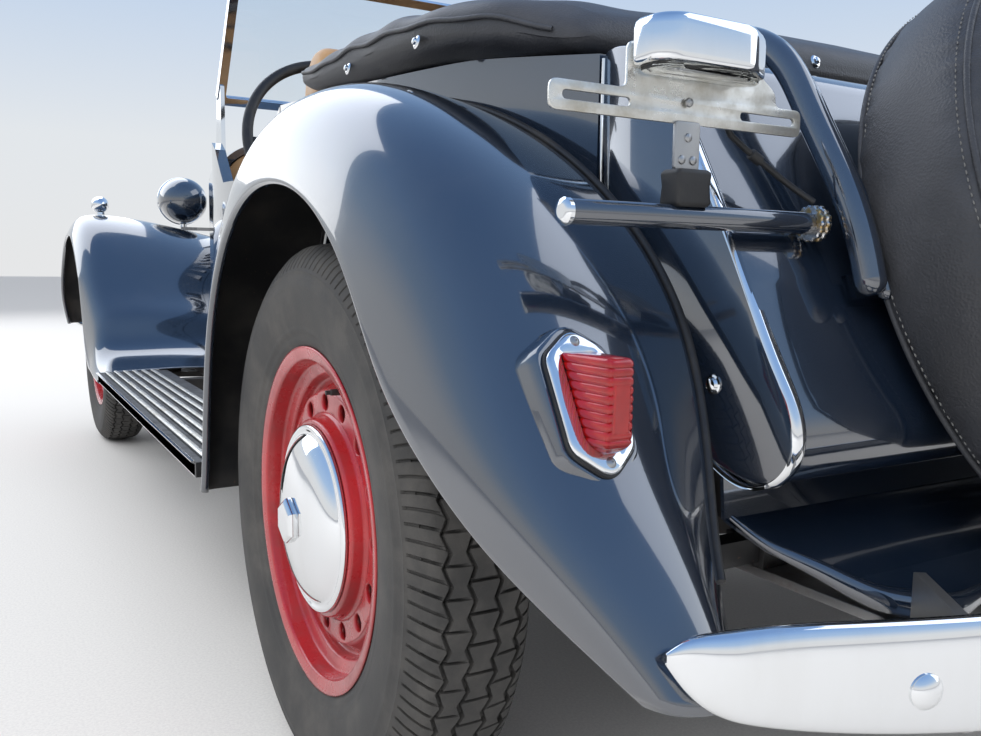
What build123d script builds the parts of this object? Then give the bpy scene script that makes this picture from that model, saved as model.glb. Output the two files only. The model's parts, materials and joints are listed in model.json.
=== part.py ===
"""Classic open two-seater: separate sub-components in one frame.

Millimetres. +X is the car's left, +Y its rear, +Z up. The origin is on the
ground below the centre of the bounding box.
"""
import os
from collections import namedtuple
from math import cos, radians, sin

from build123d import *

os.makedirs("parts", exist_ok=True)

# Overall size and running gear
WIDTH = 1489.0
WHEELBASE = 2388.0
FRONT_OVERHANG = 560.0
REAR_OVERHANG = 735.0
LENGTH = FRONT_OVERHANG + WHEELBASE + REAR_OVERHANG
FRONT_AXLE_Y = FRONT_OVERHANG - LENGTH / 2
REAR_AXLE_Y = FRONT_AXLE_Y + WHEELBASE
BUMPER_FRONT_Y = -LENGTH / 2
BUMPER_REAR_Y = LENGTH / 2
AXLE_Z = 330.0
FRONT_WHEEL_X = 602.0
REAR_WHEEL_X = 635.0
TYRE_RADIUS = 330.0
BEAD_RADIUS = 190.0
RIM_RADIUS = 207.0
CAP_RADIUS = 113.0
DRUM_RADIUS = 125.0
KINGPIN_X = 500.0
RACK_Y = FRONT_AXLE_Y - 150.0
RACK_Z = 372.0
RACK_RADIUS = 11.0

# Gaps between separate pieces
SEAT_GAP = 0.3
PANEL_GAP = 5.0
SHAFT_GAP = 0.5

# Chassis
RAIL_X_IN = 285.0
RAIL_X_OUT = 345.0
RAIL_TOP = 300.0
RAIL_BOTTOM = 205.0
KICK_TOP = 470.0
KICK_BOTTOM = 392.0
FLOOR_THICK = 15.0
FLOOR_TOP = RAIL_TOP + SEAT_GAP + FLOOR_THICK

# Body stations along the car
BONNET_FRONT_Y = -1262.0
SCUTTLE_FRONT_Y = -440.0
DOOR_FRONT_Y = -125.0
DOOR_REAR_Y = 555.0
DECK_FRONT_Y = 725.0
TANK_FRONT_Y = 1345.0
SIDE_BOTTOM = 335.0
PANEL = 4.0
SIDE_WALL = 24.0
SCREEN_Y = -205.0
SCREEN_HEIGHT = 330.0

# Steering column ends and the holes it passes through
WHEEL_CENTRE = (300, 120, 900)
COLUMN_FOOT = (250, -1394.5, 409)
COLUMN_RADIUS = 16.0
COLUMN_HOLE = COLUMN_RADIUS + SEAT_GAP

COLUMN_DIRECTION = tuple(b - a for a, b in zip(COLUMN_FOOT, WHEEL_CENTRE))

# Fenders
LIP_X = 742.0
FENDER_WALL = 4.0

SIDES = (("left", 1), ("right", -1))

PlanPoint = namedtuple("PlanPoint", "y x")
BODY_PLAN = (
    PlanPoint(-440, 456),
    PlanPoint(-125, 518),
    PlanPoint(100, 545),
    PlanPoint(350, 557),
    PlanPoint(560, 557),
    PlanPoint(760, 547),
    PlanPoint(950, 529),
    PlanPoint(1150, 499),
    PlanPoint(1345, 455),
)


def body_x(y):
    """Half width of the body side at a station along the car."""
    for near, far in zip(BODY_PLAN, BODY_PLAN[1:]):
        if y <= far.y:
            share = (y - near.y) / (far.y - near.y)
            return near.x + max(share, 0.0) * (far.x - near.x)
    return BODY_PLAN[-1].x


def plan_strip(start_y, end_y, thickness, inset=0.0):
    """Points of a closed strip that follows the body side in plan."""
    stations = [start_y]
    stations += [p.y for p in BODY_PLAN if start_y + 20 < p.y < end_y - 20]
    stations += [end_y]
    outer = [(body_x(y) - inset, y) for y in stations]
    inner = [(x - thickness, y) for x, y in reversed(outer)]
    return outer, inner


def plan_polygon(start_y, end_y, inset):
    """Closed outline of the body in plan between two stations."""
    left_edge, _ = plan_strip(start_y, end_y, 1.0, inset)
    return left_edge + [(-x, y) for x, y in reversed(left_edge)]


def column_point(y):
    """Point of the steering column's axis at a station along the car."""
    share = (y - COLUMN_FOOT[1]) / (WHEEL_CENTRE[1] - COLUMN_FOOT[1])
    return tuple(a + share * (b - a) for a, b in zip(COLUMN_FOOT, WHEEL_CENTRE))


def save(part, name):
    """Label one piece and write its file."""
    part.label = name
    export_step(part, f"parts/{name}.step")


# Chassis: two side members in side view, tubes between them, outriggers
RAIL_FRONT_Y = BUMPER_FRONT_Y + 141.5
RAIL_PROFILE = (
    (RAIL_FRONT_Y, 430), (-1430, 325), (-1080, 315), (-900, RAIL_TOP), (600, RAIL_TOP),
    (850, KICK_TOP), (1300, KICK_TOP), (1500, 440), (1500, 360), (1290, KICK_BOTTOM),
    (880, KICK_BOTTOM), (620, RAIL_BOTTOM), (-900, RAIL_BOTTOM), (-1080, 235),
    (-1430, 250), (RAIL_FRONT_Y, 370),
)
RADIATOR_FOOT_Y = -1366.0
RADIATOR_FOOT_Z = 292.0
CROSS_TUBES = ((RADIATOR_FOOT_Y, RADIATOR_FOOT_Z), (-640, 250), (150, 250), (604, 250), (1460, 405))
OUTRIGGERS_Y = (-520, 60, 560)
OUTRIGGER_X = 660.0
OUTRIGGER_TOP = 297.7

with BuildPart() as chassis:
    with BuildSketch(Plane.YZ.offset(RAIL_X_IN)):
        with BuildLine():
            Polyline(*RAIL_PROFILE, close=True)
        make_face()
    extrude(amount=RAIL_X_OUT - RAIL_X_IN)
    for tube_y in OUTRIGGERS_Y:
        with Locations(((RAIL_X_OUT + OUTRIGGER_X) / 2 - 1, tube_y, OUTRIGGER_TOP - 18)):
            Box(OUTRIGGER_X - RAIL_X_OUT + 2, 44, 36)
    with Locations((150, RADIATOR_FOOT_Y, (RADIATOR_FOOT_Z + 439.7) / 2)):
        Box(40, 40, 439.7 - RADIATOR_FOOT_Z)
    mirror(about=Plane.YZ)
    for tube_y, tube_z in CROSS_TUBES:
        with Locations(Pos(0, tube_y, tube_z) * Rot(0, 90, 0)):
            Cylinder(24, 2 * RAIL_X_IN + 4)
save(chassis.part, "chassis_frame")

# Front suspension, fixed to the frame at its ride height
ARM_X_OUT = KINGPIN_X + 15.0
PIN_BOTTOM = 232.0 + SHAFT_GAP
PIN_TOP = 401.0 - SHAFT_GAP
with BuildPart() as front_suspension:
    with Locations((0, FRONT_AXLE_Y, 278)):
        Box(2 * (RAIL_X_IN - SEAT_GAP), 110, 60)
    for side, sign in SIDES:
        with BuildSketch(Plane.XY.offset(214)):
            with BuildLine():
                Polyline(
                    (sign * 180, FRONT_AXLE_Y - 120), (sign * ARM_X_OUT, FRONT_AXLE_Y - 24),
                    (sign * ARM_X_OUT, FRONT_AXLE_Y + 24), (sign * 180, FRONT_AXLE_Y + 120),
                    (sign * 180, FRONT_AXLE_Y + 84), (sign * 360, FRONT_AXLE_Y),
                    (sign * 180, FRONT_AXLE_Y - 84), close=True,
                )
            make_face()
        extrude(amount=18)
        with Locations((sign * 210, FRONT_AXLE_Y, 240)):
            Box(60, 230, 20)
        with Locations((sign * 418, FRONT_AXLE_Y, 315)):
            Cylinder(38, 172)
        with Locations((sign * (320 + ARM_X_OUT) / 2, FRONT_AXLE_Y, 411)):
            Box(ARM_X_OUT - 320, 60, 20)
        with Locations((sign * 330, FRONT_AXLE_Y, 371)):
            Box(60, 90, 90)
        with Locations((sign * 275, RACK_Y, 330)):
            Box(2 * (RAIL_X_IN - SEAT_GAP - 275), 24, 84)
    with Locations(Pos(0, RACK_Y, RACK_Z) * Rot(0, 90, 0)):
        Cylinder(19, 2 * (RAIL_X_IN - SEAT_GAP))
        Cylinder(RACK_RADIUS + SHAFT_GAP, 600, mode=Mode.SUBTRACT)
    with Locations((COLUMN_FOOT[0], RACK_Y + 24, 398)):
        Box(44, 14, 44)
    with Locations((COLUMN_FOOT[0], RACK_Y + 14, 398)):
        Box(44, 24, 12)
save(front_suspension.part, "front_suspension")

# Stub axles: upright, kingpin, spindle, drum and steering arm
DRUM_SPAN = (-68.0, -22.0)
HUB_RADIUS = 58.0
HUB_FACE = 6.0 - SHAFT_GAP
STUD_TOP = RACK_Z - RACK_RADIUS - SHAFT_GAP
for side, sign in SIDES:
    with BuildPart() as knuckle:
        with Locations((KINGPIN_X, FRONT_AXLE_Y, (PIN_BOTTOM + PIN_TOP) / 2)):
            Cylinder(14, PIN_TOP - PIN_BOTTOM)
        with Locations(Pos((KINGPIN_X + 585) / 2, FRONT_AXLE_Y, AXLE_Z) * Rot(0, 90, 0)):
            Cylinder(20, 585 - KINGPIN_X)
        drum_x = FRONT_WHEEL_X + sum(DRUM_SPAN) / 2
        with Locations(Pos(drum_x, FRONT_AXLE_Y, AXLE_Z) * Rot(0, 90, 0)):
            Cylinder(DRUM_RADIUS, DRUM_SPAN[1] - DRUM_SPAN[0])
        with Locations(Pos(FRONT_WHEEL_X - 10, FRONT_AXLE_Y, AXLE_Z) * Rot(0, 90, 0)):
            Cylinder(HUB_RADIUS, 2 * (10 + HUB_FACE))
        with Locations((KINGPIN_X - 10, RACK_Y, (350 + STUD_TOP) / 2 - 1)):
            Cylinder(7, STUD_TOP - 350 + 2)
        with BuildSketch(Plane.XY.offset(334)):
            with BuildLine():
                Polyline(
                    (KINGPIN_X - 12, FRONT_AXLE_Y), (KINGPIN_X + 12, FRONT_AXLE_Y),
                    (KINGPIN_X + 2, RACK_Y - 12), (KINGPIN_X - 22, RACK_Y - 12), close=True,
                )
            make_face()
        extrude(amount=16)
        if side == "right":
            mirror(about=Plane.YZ, mode=Mode.REPLACE)
    save(knuckle.part, f"knuckle_{side}")

# Steering rack bar with its two ends
with BuildPart() as track_rod:
    with Locations(Pos(0, RACK_Y, RACK_Z) * Rot(0, 90, 0)):
        Cylinder(RACK_RADIUS, 2 * KINGPIN_X)
save(track_rod.part, "track_rod")

# Rear axle: tube, differential and drums
with BuildPart() as rear_axle:
    with Locations(Pos(0, REAR_AXLE_Y, AXLE_Z) * Rot(0, 90, 0)):
        Cylinder(36, 2 * (REAR_WHEEL_X - 30))
    with Locations(Pos(0, REAR_AXLE_Y, AXLE_Z) * Rot(0, 90, 0)):
        Cylinder(106, 90)
        with Locations((0, 0, 75)):
            Cone(106, 40, 60)
        with Locations((0, 0, -75)):
            Cone(40, 106, 60)
    for side, sign in SIDES:
        drum_x = sign * (REAR_WHEEL_X + sum(DRUM_SPAN) / 2)
        with Locations(Pos(drum_x, REAR_AXLE_Y, AXLE_Z) * Rot(0, 90, 0)):
            Cylinder(DRUM_RADIUS, DRUM_SPAN[1] - DRUM_SPAN[0])
        with Locations(Pos(sign * (REAR_WHEEL_X - 10), REAR_AXLE_Y, AXLE_Z) * Rot(0, 90, 0)):
            Cylinder(HUB_RADIUS, 2 * (10 + HUB_FACE))
        with Locations((sign * 430, REAR_AXLE_Y, AXLE_Z - 4)):
            Box(60, 90, 88)
save(rear_axle.part, "rear_axle")

# Rear leaf springs under the axle
SPRING_PROFILE = (
    (620, 300), (860, 256), (REAR_AXLE_Y, 240), (1340, 262), (1490, 330),
    (1480, 345), (1335, 279), (REAR_AXLE_Y, 281.7), (865, 278), (628, 318),
)
with BuildPart() as rear_springs:
    with BuildSketch(Plane.YZ.offset(405)):
        with BuildLine():
            Polyline(*SPRING_PROFILE, close=True)
        make_face()
    extrude(amount=50)
    shackle_x = (RAIL_X_OUT + SEAT_GAP + 429) / 2
    with Locations((shackle_x, 1478, 350), (shackle_x, 636, 300)):
        Box(429 - RAIL_X_OUT - SEAT_GAP, 26, 26)
    mirror(about=Plane.YZ)
save(rear_springs.part, "rear_springs")

# Engine with gearbox as one block, and the drive shaft
with BuildPart() as engine:
    with Locations((0, -880, 530)):
        Box(260, 620, 460)
    with Locations((0, -400, 365)):
        Box(160, 380, 150)
    with Locations((0, -1000, 297)):
        Box(2 * (RAIL_X_IN - SEAT_GAP), 50, 20)
    with Locations(Pos(0, 387, 345) * Rot(90, 0, 0)):
        Cylinder(28, 1204)
save(engine.part, "engine_and_shaft")

# Exhaust: pipe, silencer and tail
EXHAUST_X = -225.0
EXHAUST_R = 19.0
EXHAUST_Z = 200.0
TAIL_Z = 262.0
TAIL_END_Y = 1730.0
TAIL_TIP_RADIUS = 21.0
TAIL_TIP_LENGTH = 120.0
with BuildPart() as exhaust:
    with BuildLine() as exhaust_line:
        Polyline(
            (EXHAUST_X, -900, EXHAUST_Z), (EXHAUST_X, 1230, EXHAUST_Z),
            (EXHAUST_X, 1570, TAIL_Z), (EXHAUST_X, TAIL_END_Y, TAIL_Z),
        )
    with BuildSketch(Plane(origin=(EXHAUST_X, -900, EXHAUST_Z), z_dir=(0, 1, 0))):
        Circle(EXHAUST_R)
    sweep(path=exhaust_line.line, transition=Transition.ROUND)
    with Locations(Pos(EXHAUST_X, TAIL_END_Y - TAIL_TIP_LENGTH / 2, TAIL_Z) * Rot(90, 0, 0)):
        Cylinder(TAIL_TIP_RADIUS, TAIL_TIP_LENGTH)
    with Locations(Pos(EXHAUST_X, 395, EXHAUST_Z) * Rot(90, 0, 0)):
        Cylinder(41, 330)
    with Locations((EXHAUST_X, -870, 290)):
        Box(60, 60, 150)
    with Locations(((EXHAUST_X - 130 - SEAT_GAP) / 2, -870, 345)):
        Box(-130 - SEAT_GAP - EXHAUST_X, 60, 40)
    with Locations((EXHAUST_X, 604, 221)):
        Box(24, 14, 9.4)
save(exhaust.part, "exhaust")

# Wheels: tyre ring, pressed disc on a rim barrel, and hub cap, as turned profiles
# about the wheel's own axis; the first number is outboard of the centre plane
TYRE_PROFILE = (
    (-50, BEAD_RADIUS + 4.5), (50, BEAD_RADIUS + 4.5), (52, RIM_RADIUS + 3), (66, 235),
    (70, 265), (66, 295), (56, 318), (44, 326), (0, TYRE_RADIUS), (-44, 326), (-56, 318),
    (-66, 295), (-70, 265), (-66, 235), (-52, RIM_RADIUS + 3),
)
RIM_PROFILE = (
    (58, RIM_RADIUS), (53.5, RIM_RADIUS - 2), (52, 194), (30, 190), (26, 174), (-24, 174),
    (-30, 190), (-52, 194), (-53.5, RIM_RADIUS - 2), (-58, RIM_RADIUS), (-58, RIM_RADIUS - 5),
    (-55, 190), (-33, 186), (-27, 170), (8, 170), (10, 163), (14, 156), (26, 148), (26, 124),
    (29, 117), (42, 112), (6, 88), (6, 40), (12, 40), (12, 84), (46, 106), (52, 110), (52, 117),
    (36, 121), (33, 126), (33, 151), (21, 160), (16, 165), (15, 170), (29, 170), (33, 186),
    (55, 190), (58, RIM_RADIUS - 5),
)
CAP_SEAT = 52.0 + SEAT_GAP
CAP_PROFILE = (
    (CAP_SEAT, CAP_RADIUS), (55, CAP_RADIUS), (58, 109), (60, 98), (68, 86), (77, 64), (82, 36),
    (83, 19), (91, 17), (92, 0), (CAP_SEAT, 0),
)
WHEEL_HOLES = 15
HOLE_RING_RADIUS = 138.0
HOLE_RADIUS = 11.0
Wheel = namedtuple("Wheel", "name sign x y")
WHEELS = (
    Wheel("front_left", 1, FRONT_WHEEL_X, FRONT_AXLE_Y),
    Wheel("front_right", -1, FRONT_WHEEL_X, FRONT_AXLE_Y),
    Wheel("rear_left", 1, REAR_WHEEL_X, REAR_AXLE_Y),
    Wheel("rear_right", -1, REAR_WHEEL_X, REAR_AXLE_Y),
)
for wheel in WHEELS:
    hub_axis = Axis((wheel.sign * wheel.x, wheel.y, AXLE_Z), (1, 0, 0))
    hub_plane = Plane(
        origin=(wheel.sign * wheel.x, wheel.y, AXLE_Z),
        x_dir=(wheel.sign, 0, 0), z_dir=(0, -wheel.sign, 0),
    )
    with BuildPart() as tyre:
        with BuildSketch(hub_plane):
            with BuildLine():
                Polyline(*TYRE_PROFILE, close=True)
            make_face()
        revolve(axis=hub_axis)
    save(tyre.part, f"tyre_{wheel.name}")
    with BuildPart() as disc:
        with BuildSketch(hub_plane):
            with BuildLine():
                Polyline(*RIM_PROFILE, close=True)
            make_face()
        revolve(axis=hub_axis)
        with Locations(Location(Plane(
            origin=(wheel.sign * (wheel.x + 40), wheel.y, AXLE_Z),
            x_dir=(0, 1, 0), z_dir=(wheel.sign, 0, 0),
        ))):
            with PolarLocations(HOLE_RING_RADIUS, WHEEL_HOLES):
                Cylinder(HOLE_RADIUS, 60, mode=Mode.SUBTRACT)
    save(disc.part, f"wheel_{wheel.name}")
    with BuildPart() as cap:
        with BuildSketch(hub_plane):
            with BuildLine():
                Polyline(*CAP_PROFILE, close=True)
            make_face()
        revolve(axis=hub_axis)
    save(cap.part, f"hubcap_{wheel.name}")

# Fenders: thin sections on planes that hold the X direction. Each row gives the
# plane's origin, its angle up from rearwards, and x and height of the inner edge,
# the crown and the outer lip.
FenderStation = namedtuple("FenderStation", "y z angle x_in h_in x_top h_top h_lip x_lip")
REAR_STATIONS = (
    FenderStation(REAR_AXLE_Y, AXLE_Z, 187, 556, 366, 645, 380, 366, 742),
    FenderStation(REAR_AXLE_Y, AXLE_Z, 165, 556, 398, 645, 412, 353, 742),
    FenderStation(REAR_AXLE_Y, AXLE_Z, 140, 554, 474, 642, 472, 377, 742),
    FenderStation(REAR_AXLE_Y, AXLE_Z, 115, 546, 535, 640, 506, 397, 742),
    FenderStation(REAR_AXLE_Y, AXLE_Z, 90, 522, 505, 640, 509, 398, 742),
    FenderStation(REAR_AXLE_Y, AXLE_Z, 68, 490, 478, 640, 508, 396, 742),
    FenderStation(REAR_AXLE_Y, AXLE_Z, 48, 475, 472, 636, 506, 388, 742),
    FenderStation(REAR_AXLE_Y, AXLE_Z, 32, 480, 480, 630, 504, 386, 738),
    FenderStation(REAR_AXLE_Y, AXLE_Z, 18, 510, 500, 625, 535, 436, 728),
    FenderStation(REAR_AXLE_Y, AXLE_Z, 9, 545, 535, 620, 580, 500, 704),
    FenderStation(REAR_AXLE_Y, AXLE_Z, 2, 580, 590, 618, 622, 590, 664),
)
FRONT_STATIONS = (
    FenderStation(FRONT_AXLE_Y, AXLE_Z, 172, 500, 372, 610, 412, 392, 718),
    FenderStation(FRONT_AXLE_Y, AXLE_Z, 158, 410, 374, 618, 418, 388, 736),
    FenderStation(FRONT_AXLE_Y, AXLE_Z, 135, 310, 376, 628, 436, 386, 742),
    FenderStation(FRONT_AXLE_Y, AXLE_Z, 112, 236, 378, 635, 448, 386, 742),
    FenderStation(FRONT_AXLE_Y, AXLE_Z, 90, 222, 380, 640, 453, 386, 742),
    FenderStation(FRONT_AXLE_Y, AXLE_Z, 66, 262, 384, 640, 446, 386, 742),
    FenderStation(FRONT_AXLE_Y, AXLE_Z, 42, 304, 402, 640, 440, 386, 742),
    FenderStation(FRONT_AXLE_Y, AXLE_Z, 22, 336, 446, 640, 478, 388, 742),
    FenderStation(-862, 290, 66, 358, 176, 640, 186, 58, 742),
    FenderStation(-765, 290, 80, 370, 104, 640, 106, 22, 742),
    FenderStation(-660, 290, 88, 394, 55, 640, 55, 14, 742),
    FenderStation(-545, 290, 90, 428, 34, 640, 34, 12, 742),
)
SHOULDER = 0.72
CROWN_RISE = 2.5
BURIED = 90.0
FIXING_WIDTH = 10.0


def fender_section(row):
    """Corner and mid points of one thin section, as x and height in its plane."""
    wall = FENDER_WALL
    mid_in = ((row.x_in + row.x_top) / 2, row.h_in + (row.h_top - row.h_in) * 0.6 + CROWN_RISE)
    mid_out = (
        row.x_top + (row.x_lip - row.x_top) * SHOULDER,
        row.h_lip + (row.h_top - row.h_lip) * SHOULDER,
    )
    outer = [(row.x_in, row.h_in), mid_in, (row.x_top, row.h_top), mid_out, (row.x_lip, row.h_lip)]
    inner = [
        (row.x_lip - wall, row.h_lip),
        (mid_out[0] - wall * 0.7, mid_out[1] - wall * 0.7),
        (row.x_top, row.h_top - wall),
        (mid_in[0], mid_in[1] - wall),
        (row.x_in, row.h_in - wall),
    ]
    return outer, inner


def fender_plane(row):
    """Section plane that holds the X direction and the row's own direction."""
    tilt = radians(row.angle)
    return Plane(origin=(0, row.y, row.z), x_dir=(1, 0, 0), z_dir=(0, -sin(tilt), cos(tilt)))


with BuildPart() as body_side:
    outer, inner = plan_strip(DOOR_REAR_Y, TANK_FRONT_Y + 5, SIDE_WALL, -SEAT_GAP)
    with BuildSketch(Plane.XY.offset(AXLE_Z)):
        with BuildLine():
            Spline(*outer)
            Line(outer[-1], inner[0])
            Spline(*inner)
            Line(inner[-1], outer[0])
        make_face()
    extrude(amount=600)
for name, stations in (("rear_fenders", REAR_STATIONS), ("front_fenders", FRONT_STATIONS)):
    with BuildPart() as fenders:
        for station in stations:
            outer, inner = fender_section(station)
            with BuildSketch(fender_plane(station)):
                with BuildLine():
                    ThreePointArc(outer[0], outer[1], outer[2])
                    ThreePointArc(outer[2], outer[3], outer[4])
                    Line(outer[4], inner[0])
                    ThreePointArc(inner[0], inner[1], inner[2])
                    ThreePointArc(inner[2], inner[3], inner[4])
                    Line(inner[4], outer[0])
                make_face()
        loft()
        if name == "rear_fenders":
            for station in stations[2:5]:
                fixing_y = station.y + (station.h_in - FENDER_WALL) * cos(radians(station.angle))
                fixing_z = station.z + (station.h_in - FENDER_WALL) * sin(radians(station.angle))
                fixing_x = body_x(fixing_y) - 4
                with Locations(((fixing_x + station.x_in + 8) / 2, fixing_y, fixing_z)):
                    Box(station.x_in + 8 - fixing_x, FIXING_WIDTH, FIXING_WIDTH)
            add(body_side.part, mode=Mode.SUBTRACT)
        mirror(about=Plane.YZ)
    save(fenders.part, name)

# Running boards on the outriggers, between the fenders
BOARD_TOP = 322.0
BOARD_FRONT_Y = FRONT_STATIONS[-1].y + SEAT_GAP
BOARD_REAR_Y = REAR_AXLE_Y - 400.0
RIBS = 6
RIB_PITCH = 24.0
RIB_WIDTH = 14.0
RIB_HEIGHT = 3.0
with BuildPart() as boards:
    with Locations(((560 + LIP_X) / 2, (BOARD_FRONT_Y + BOARD_REAR_Y) / 2, BOARD_TOP - 12)):
        Box(LIP_X - 560, BOARD_REAR_Y - BOARD_FRONT_Y, 24)
    with Locations(((580 + LIP_X) / 2, (BOARD_FRONT_Y + BOARD_REAR_Y) / 2, BOARD_TOP)):
        with GridLocations(RIB_PITCH, 1, RIBS, 1):
            Box(RIB_WIDTH, BOARD_REAR_Y - BOARD_FRONT_Y - 60, 2 * RIB_HEIGHT)
    mirror(about=Plane.YZ)
save(boards.part, "running_boards")

# Floor pan: tunnel, footwell floor and the raised floor over the axle
FLOOR_PROFILE = (
    (SCUTTLE_FRONT_Y, RAIL_TOP + SEAT_GAP), (598, RAIL_TOP + SEAT_GAP), (848, KICK_TOP + SEAT_GAP),
    (1325, KICK_TOP + SEAT_GAP), (1325, KICK_TOP + FLOOR_THICK), (842, KICK_TOP + FLOOR_THICK),
    (592, FLOOR_TOP), (SCUTTLE_FRONT_Y, FLOOR_TOP),
)
with BuildPart() as floor_pan:
    with BuildSketch(Plane.YZ.offset(-560)):
        with BuildLine():
            Polyline(*FLOOR_PROFILE, close=True)
        make_face()
    extrude(amount=1120)
    with BuildSketch(Plane.XY.offset(280)):
        with BuildLine():
            Polyline(*plan_polygon(SCUTTLE_FRONT_Y, 1325, SIDE_WALL + 2), close=True)
        make_face()
    extrude(amount=240, mode=Mode.INTERSECT)
    with Locations((0, 150, 380)):
        Box(218, 1180, 180, mode=Mode.SUBTRACT)
    with BuildSketch(Plane.XZ.offset(440)):
        with BuildLine():
            Polyline(
                (-115, RAIL_TOP + SEAT_GAP), (-115, 440), (-80, 485), (80, 485), (115, 440),
                (115, RAIL_TOP + SEAT_GAP), (109, RAIL_TOP + SEAT_GAP), (109, 437), (77, 479),
                (-77, 479), (-109, 437), (-109, RAIL_TOP + SEAT_GAP), close=True,
            )
        make_face()
    extrude(amount=-1290)
    for side, sign in SIDES:
        with BuildSketch(Plane.XY.offset(FLOOR_TOP - FLOOR_THICK)):
            with BuildLine():
                outer, inner = plan_strip(SCUTTLE_FRONT_Y, 690, 34, 2)
                Polyline(*((sign * x, y) for x, y in outer + inner), close=True)
            make_face()
        extrude(amount=SIDE_BOTTOM - SEAT_GAP - RAIL_TOP - SEAT_GAP)
save(floor_pan.part, "floor_pan")

# Bonnet and scuttle sections: a flat-topped arch, one half
ArchRow = namedtuple("ArchRow", "y half crown drop corner bottom")
RADIATOR_ARCH = ArchRow(BONNET_FRONT_Y, 214, 985, 30, 70, 700)
BONNET_REAR_ARCH = ArchRow(SCUTTLE_FRONT_Y - PANEL_GAP, 455, 1008, 60, 110, 640)
SCUTTLE_ARCH = ArchRow(SCUTTLE_FRONT_Y, 456, 1008, 60, 110, SIDE_BOTTOM)
COWL_ARCH = ArchRow(DOOR_FRONT_Y - PANEL_GAP, 517, 1012, 92, 120, SIDE_BOTTOM)


def arch_points(row, inset, x_start):
    """Outline of half an arch, from the centre line out and down the side."""
    half = row.half - inset
    crown = row.crown - inset
    edge = crown - row.drop
    share = x_start / (half - row.corner)
    top_mid_x = (half - row.corner) * 0.55
    return [
        (x_start, crown - row.drop * share ** 2),
        (top_mid_x, crown - row.drop * 0.3),
        (half - row.corner, edge),
        (half - row.corner * 0.27, edge - row.corner * 0.33),
        (half, edge - row.corner),
        (half, row.bottom),
    ]


HINGE_RADIUS = 4.0
BONNET_SPLIT_X = HINGE_RADIUS + SHAFT_GAP

# Louvres in the flat bonnet sides: a slot each, with a flap raised over it
LOUVRES = 18
LOUVRE_PITCH = 34.0
LOUVRE_SLOT = 9.0
LOUVRE_HEIGHT = 120.0
LOUVRE_Z = 770.0
FLAP_WIDTH = 15.0
FLAP_RISE = 6.0
FLAP_LAP = 4.0
bonnet_side = Vector(
    BONNET_REAR_ARCH.half - RADIATOR_ARCH.half, BONNET_REAR_ARCH.y - RADIATOR_ARCH.y, 0
)
side_direction = bonnet_side.normalized()
side_middle = Vector(
    (RADIATOR_ARCH.half + BONNET_REAR_ARCH.half) / 2, (RADIATOR_ARCH.y + BONNET_REAR_ARCH.y) / 2,
    LOUVRE_Z,
)
side_plane = Plane(
    origin=side_middle, x_dir=side_direction, z_dir=(side_direction.Y, -side_direction.X, 0)
)
flap_plane = Plane(
    origin=side_middle, x_dir=side_direction, z_dir=(0, 0, -1)
).offset(-LOUVRE_HEIGHT / 2 - FLAP_LAP)
FLAP_PROFILE = (
    (0, -3), (0, 0.5), (FLAP_WIDTH, FLAP_RISE), (FLAP_WIDTH, FLAP_RISE - 2), (FLAP_LAP, -0.5),
    (FLAP_LAP, -3),
)
for side, sign in SIDES:
    with BuildPart() as bonnet:
        for row in (RADIATOR_ARCH, BONNET_REAR_ARCH):
            outer = arch_points(row, 0.0, BONNET_SPLIT_X)
            inner = arch_points(row, PANEL, BONNET_SPLIT_X)
            with BuildSketch(Plane(origin=(0, row.y, 0), x_dir=(1, 0, 0), z_dir=(0, -1, 0))):
                with BuildLine():
                    ThreePointArc(outer[0], outer[1], outer[2])
                    ThreePointArc(outer[2], outer[3], outer[4])
                    Line(outer[4], outer[5])
                    Line(outer[5], inner[5])
                    Line(inner[5], inner[4])
                    ThreePointArc(inner[4], inner[3], inner[2])
                    ThreePointArc(inner[2], inner[1], inner[0])
                    Line(inner[0], outer[0])
                make_face()
        loft(ruled=True)
        with BuildSketch(side_plane):
            with GridLocations(LOUVRE_PITCH, 1, LOUVRES, 1):
                Rectangle(LOUVRE_SLOT, LOUVRE_HEIGHT)
        extrude(amount=-12, mode=Mode.SUBTRACT)
        for number in range(LOUVRES):
            start = (number - (LOUVRES - 1) / 2) * LOUVRE_PITCH - LOUVRE_SLOT / 2 - FLAP_LAP
            with BuildSketch(flap_plane):
                with BuildLine():
                    Polyline(*((start + along, out) for along, out in FLAP_PROFILE), close=True)
                make_face()
            extrude(amount=LOUVRE_HEIGHT + 2 * FLAP_LAP)
        if side == "right":
            mirror(about=Plane.YZ, mode=Mode.REPLACE)
    save(bonnet.part, f"bonnet_{side}")

# Valances below the bonnet sides, from the radiator shell to the scuttle
VALANCE_WALL = 3.0
VALANCE_VIEW = (
    (BONNET_FRONT_Y - 4.7, 694), (SCUTTLE_FRONT_Y - SEAT_GAP, 634), (SCUTTLE_FRONT_Y - SEAT_GAP, 310),
    (-640, 310), (-800, 380), (-960, 550), (BONNET_FRONT_Y - 4.7, 556),
)
with BuildPart() as valances:
    with BuildSketch(Plane.XY.offset(300)):
        with BuildLine():
            Polyline(
                (RADIATOR_ARCH.half, BONNET_FRONT_Y - 4.7), (455.5, SCUTTLE_FRONT_Y - SEAT_GAP),
                (455.5 - VALANCE_WALL, SCUTTLE_FRONT_Y - SEAT_GAP),
                (RADIATOR_ARCH.half - VALANCE_WALL, BONNET_FRONT_Y - 4.7), close=True,
            )
        make_face()
    extrude(amount=450)
    with BuildSketch(Plane.YZ.offset(180)):
        with BuildLine():
            Polyline(*VALANCE_VIEW, close=True)
        make_face()
    extrude(amount=300, mode=Mode.INTERSECT)
    mirror(about=Plane.YZ)
save(valances.part, "bonnet_valances")

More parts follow.
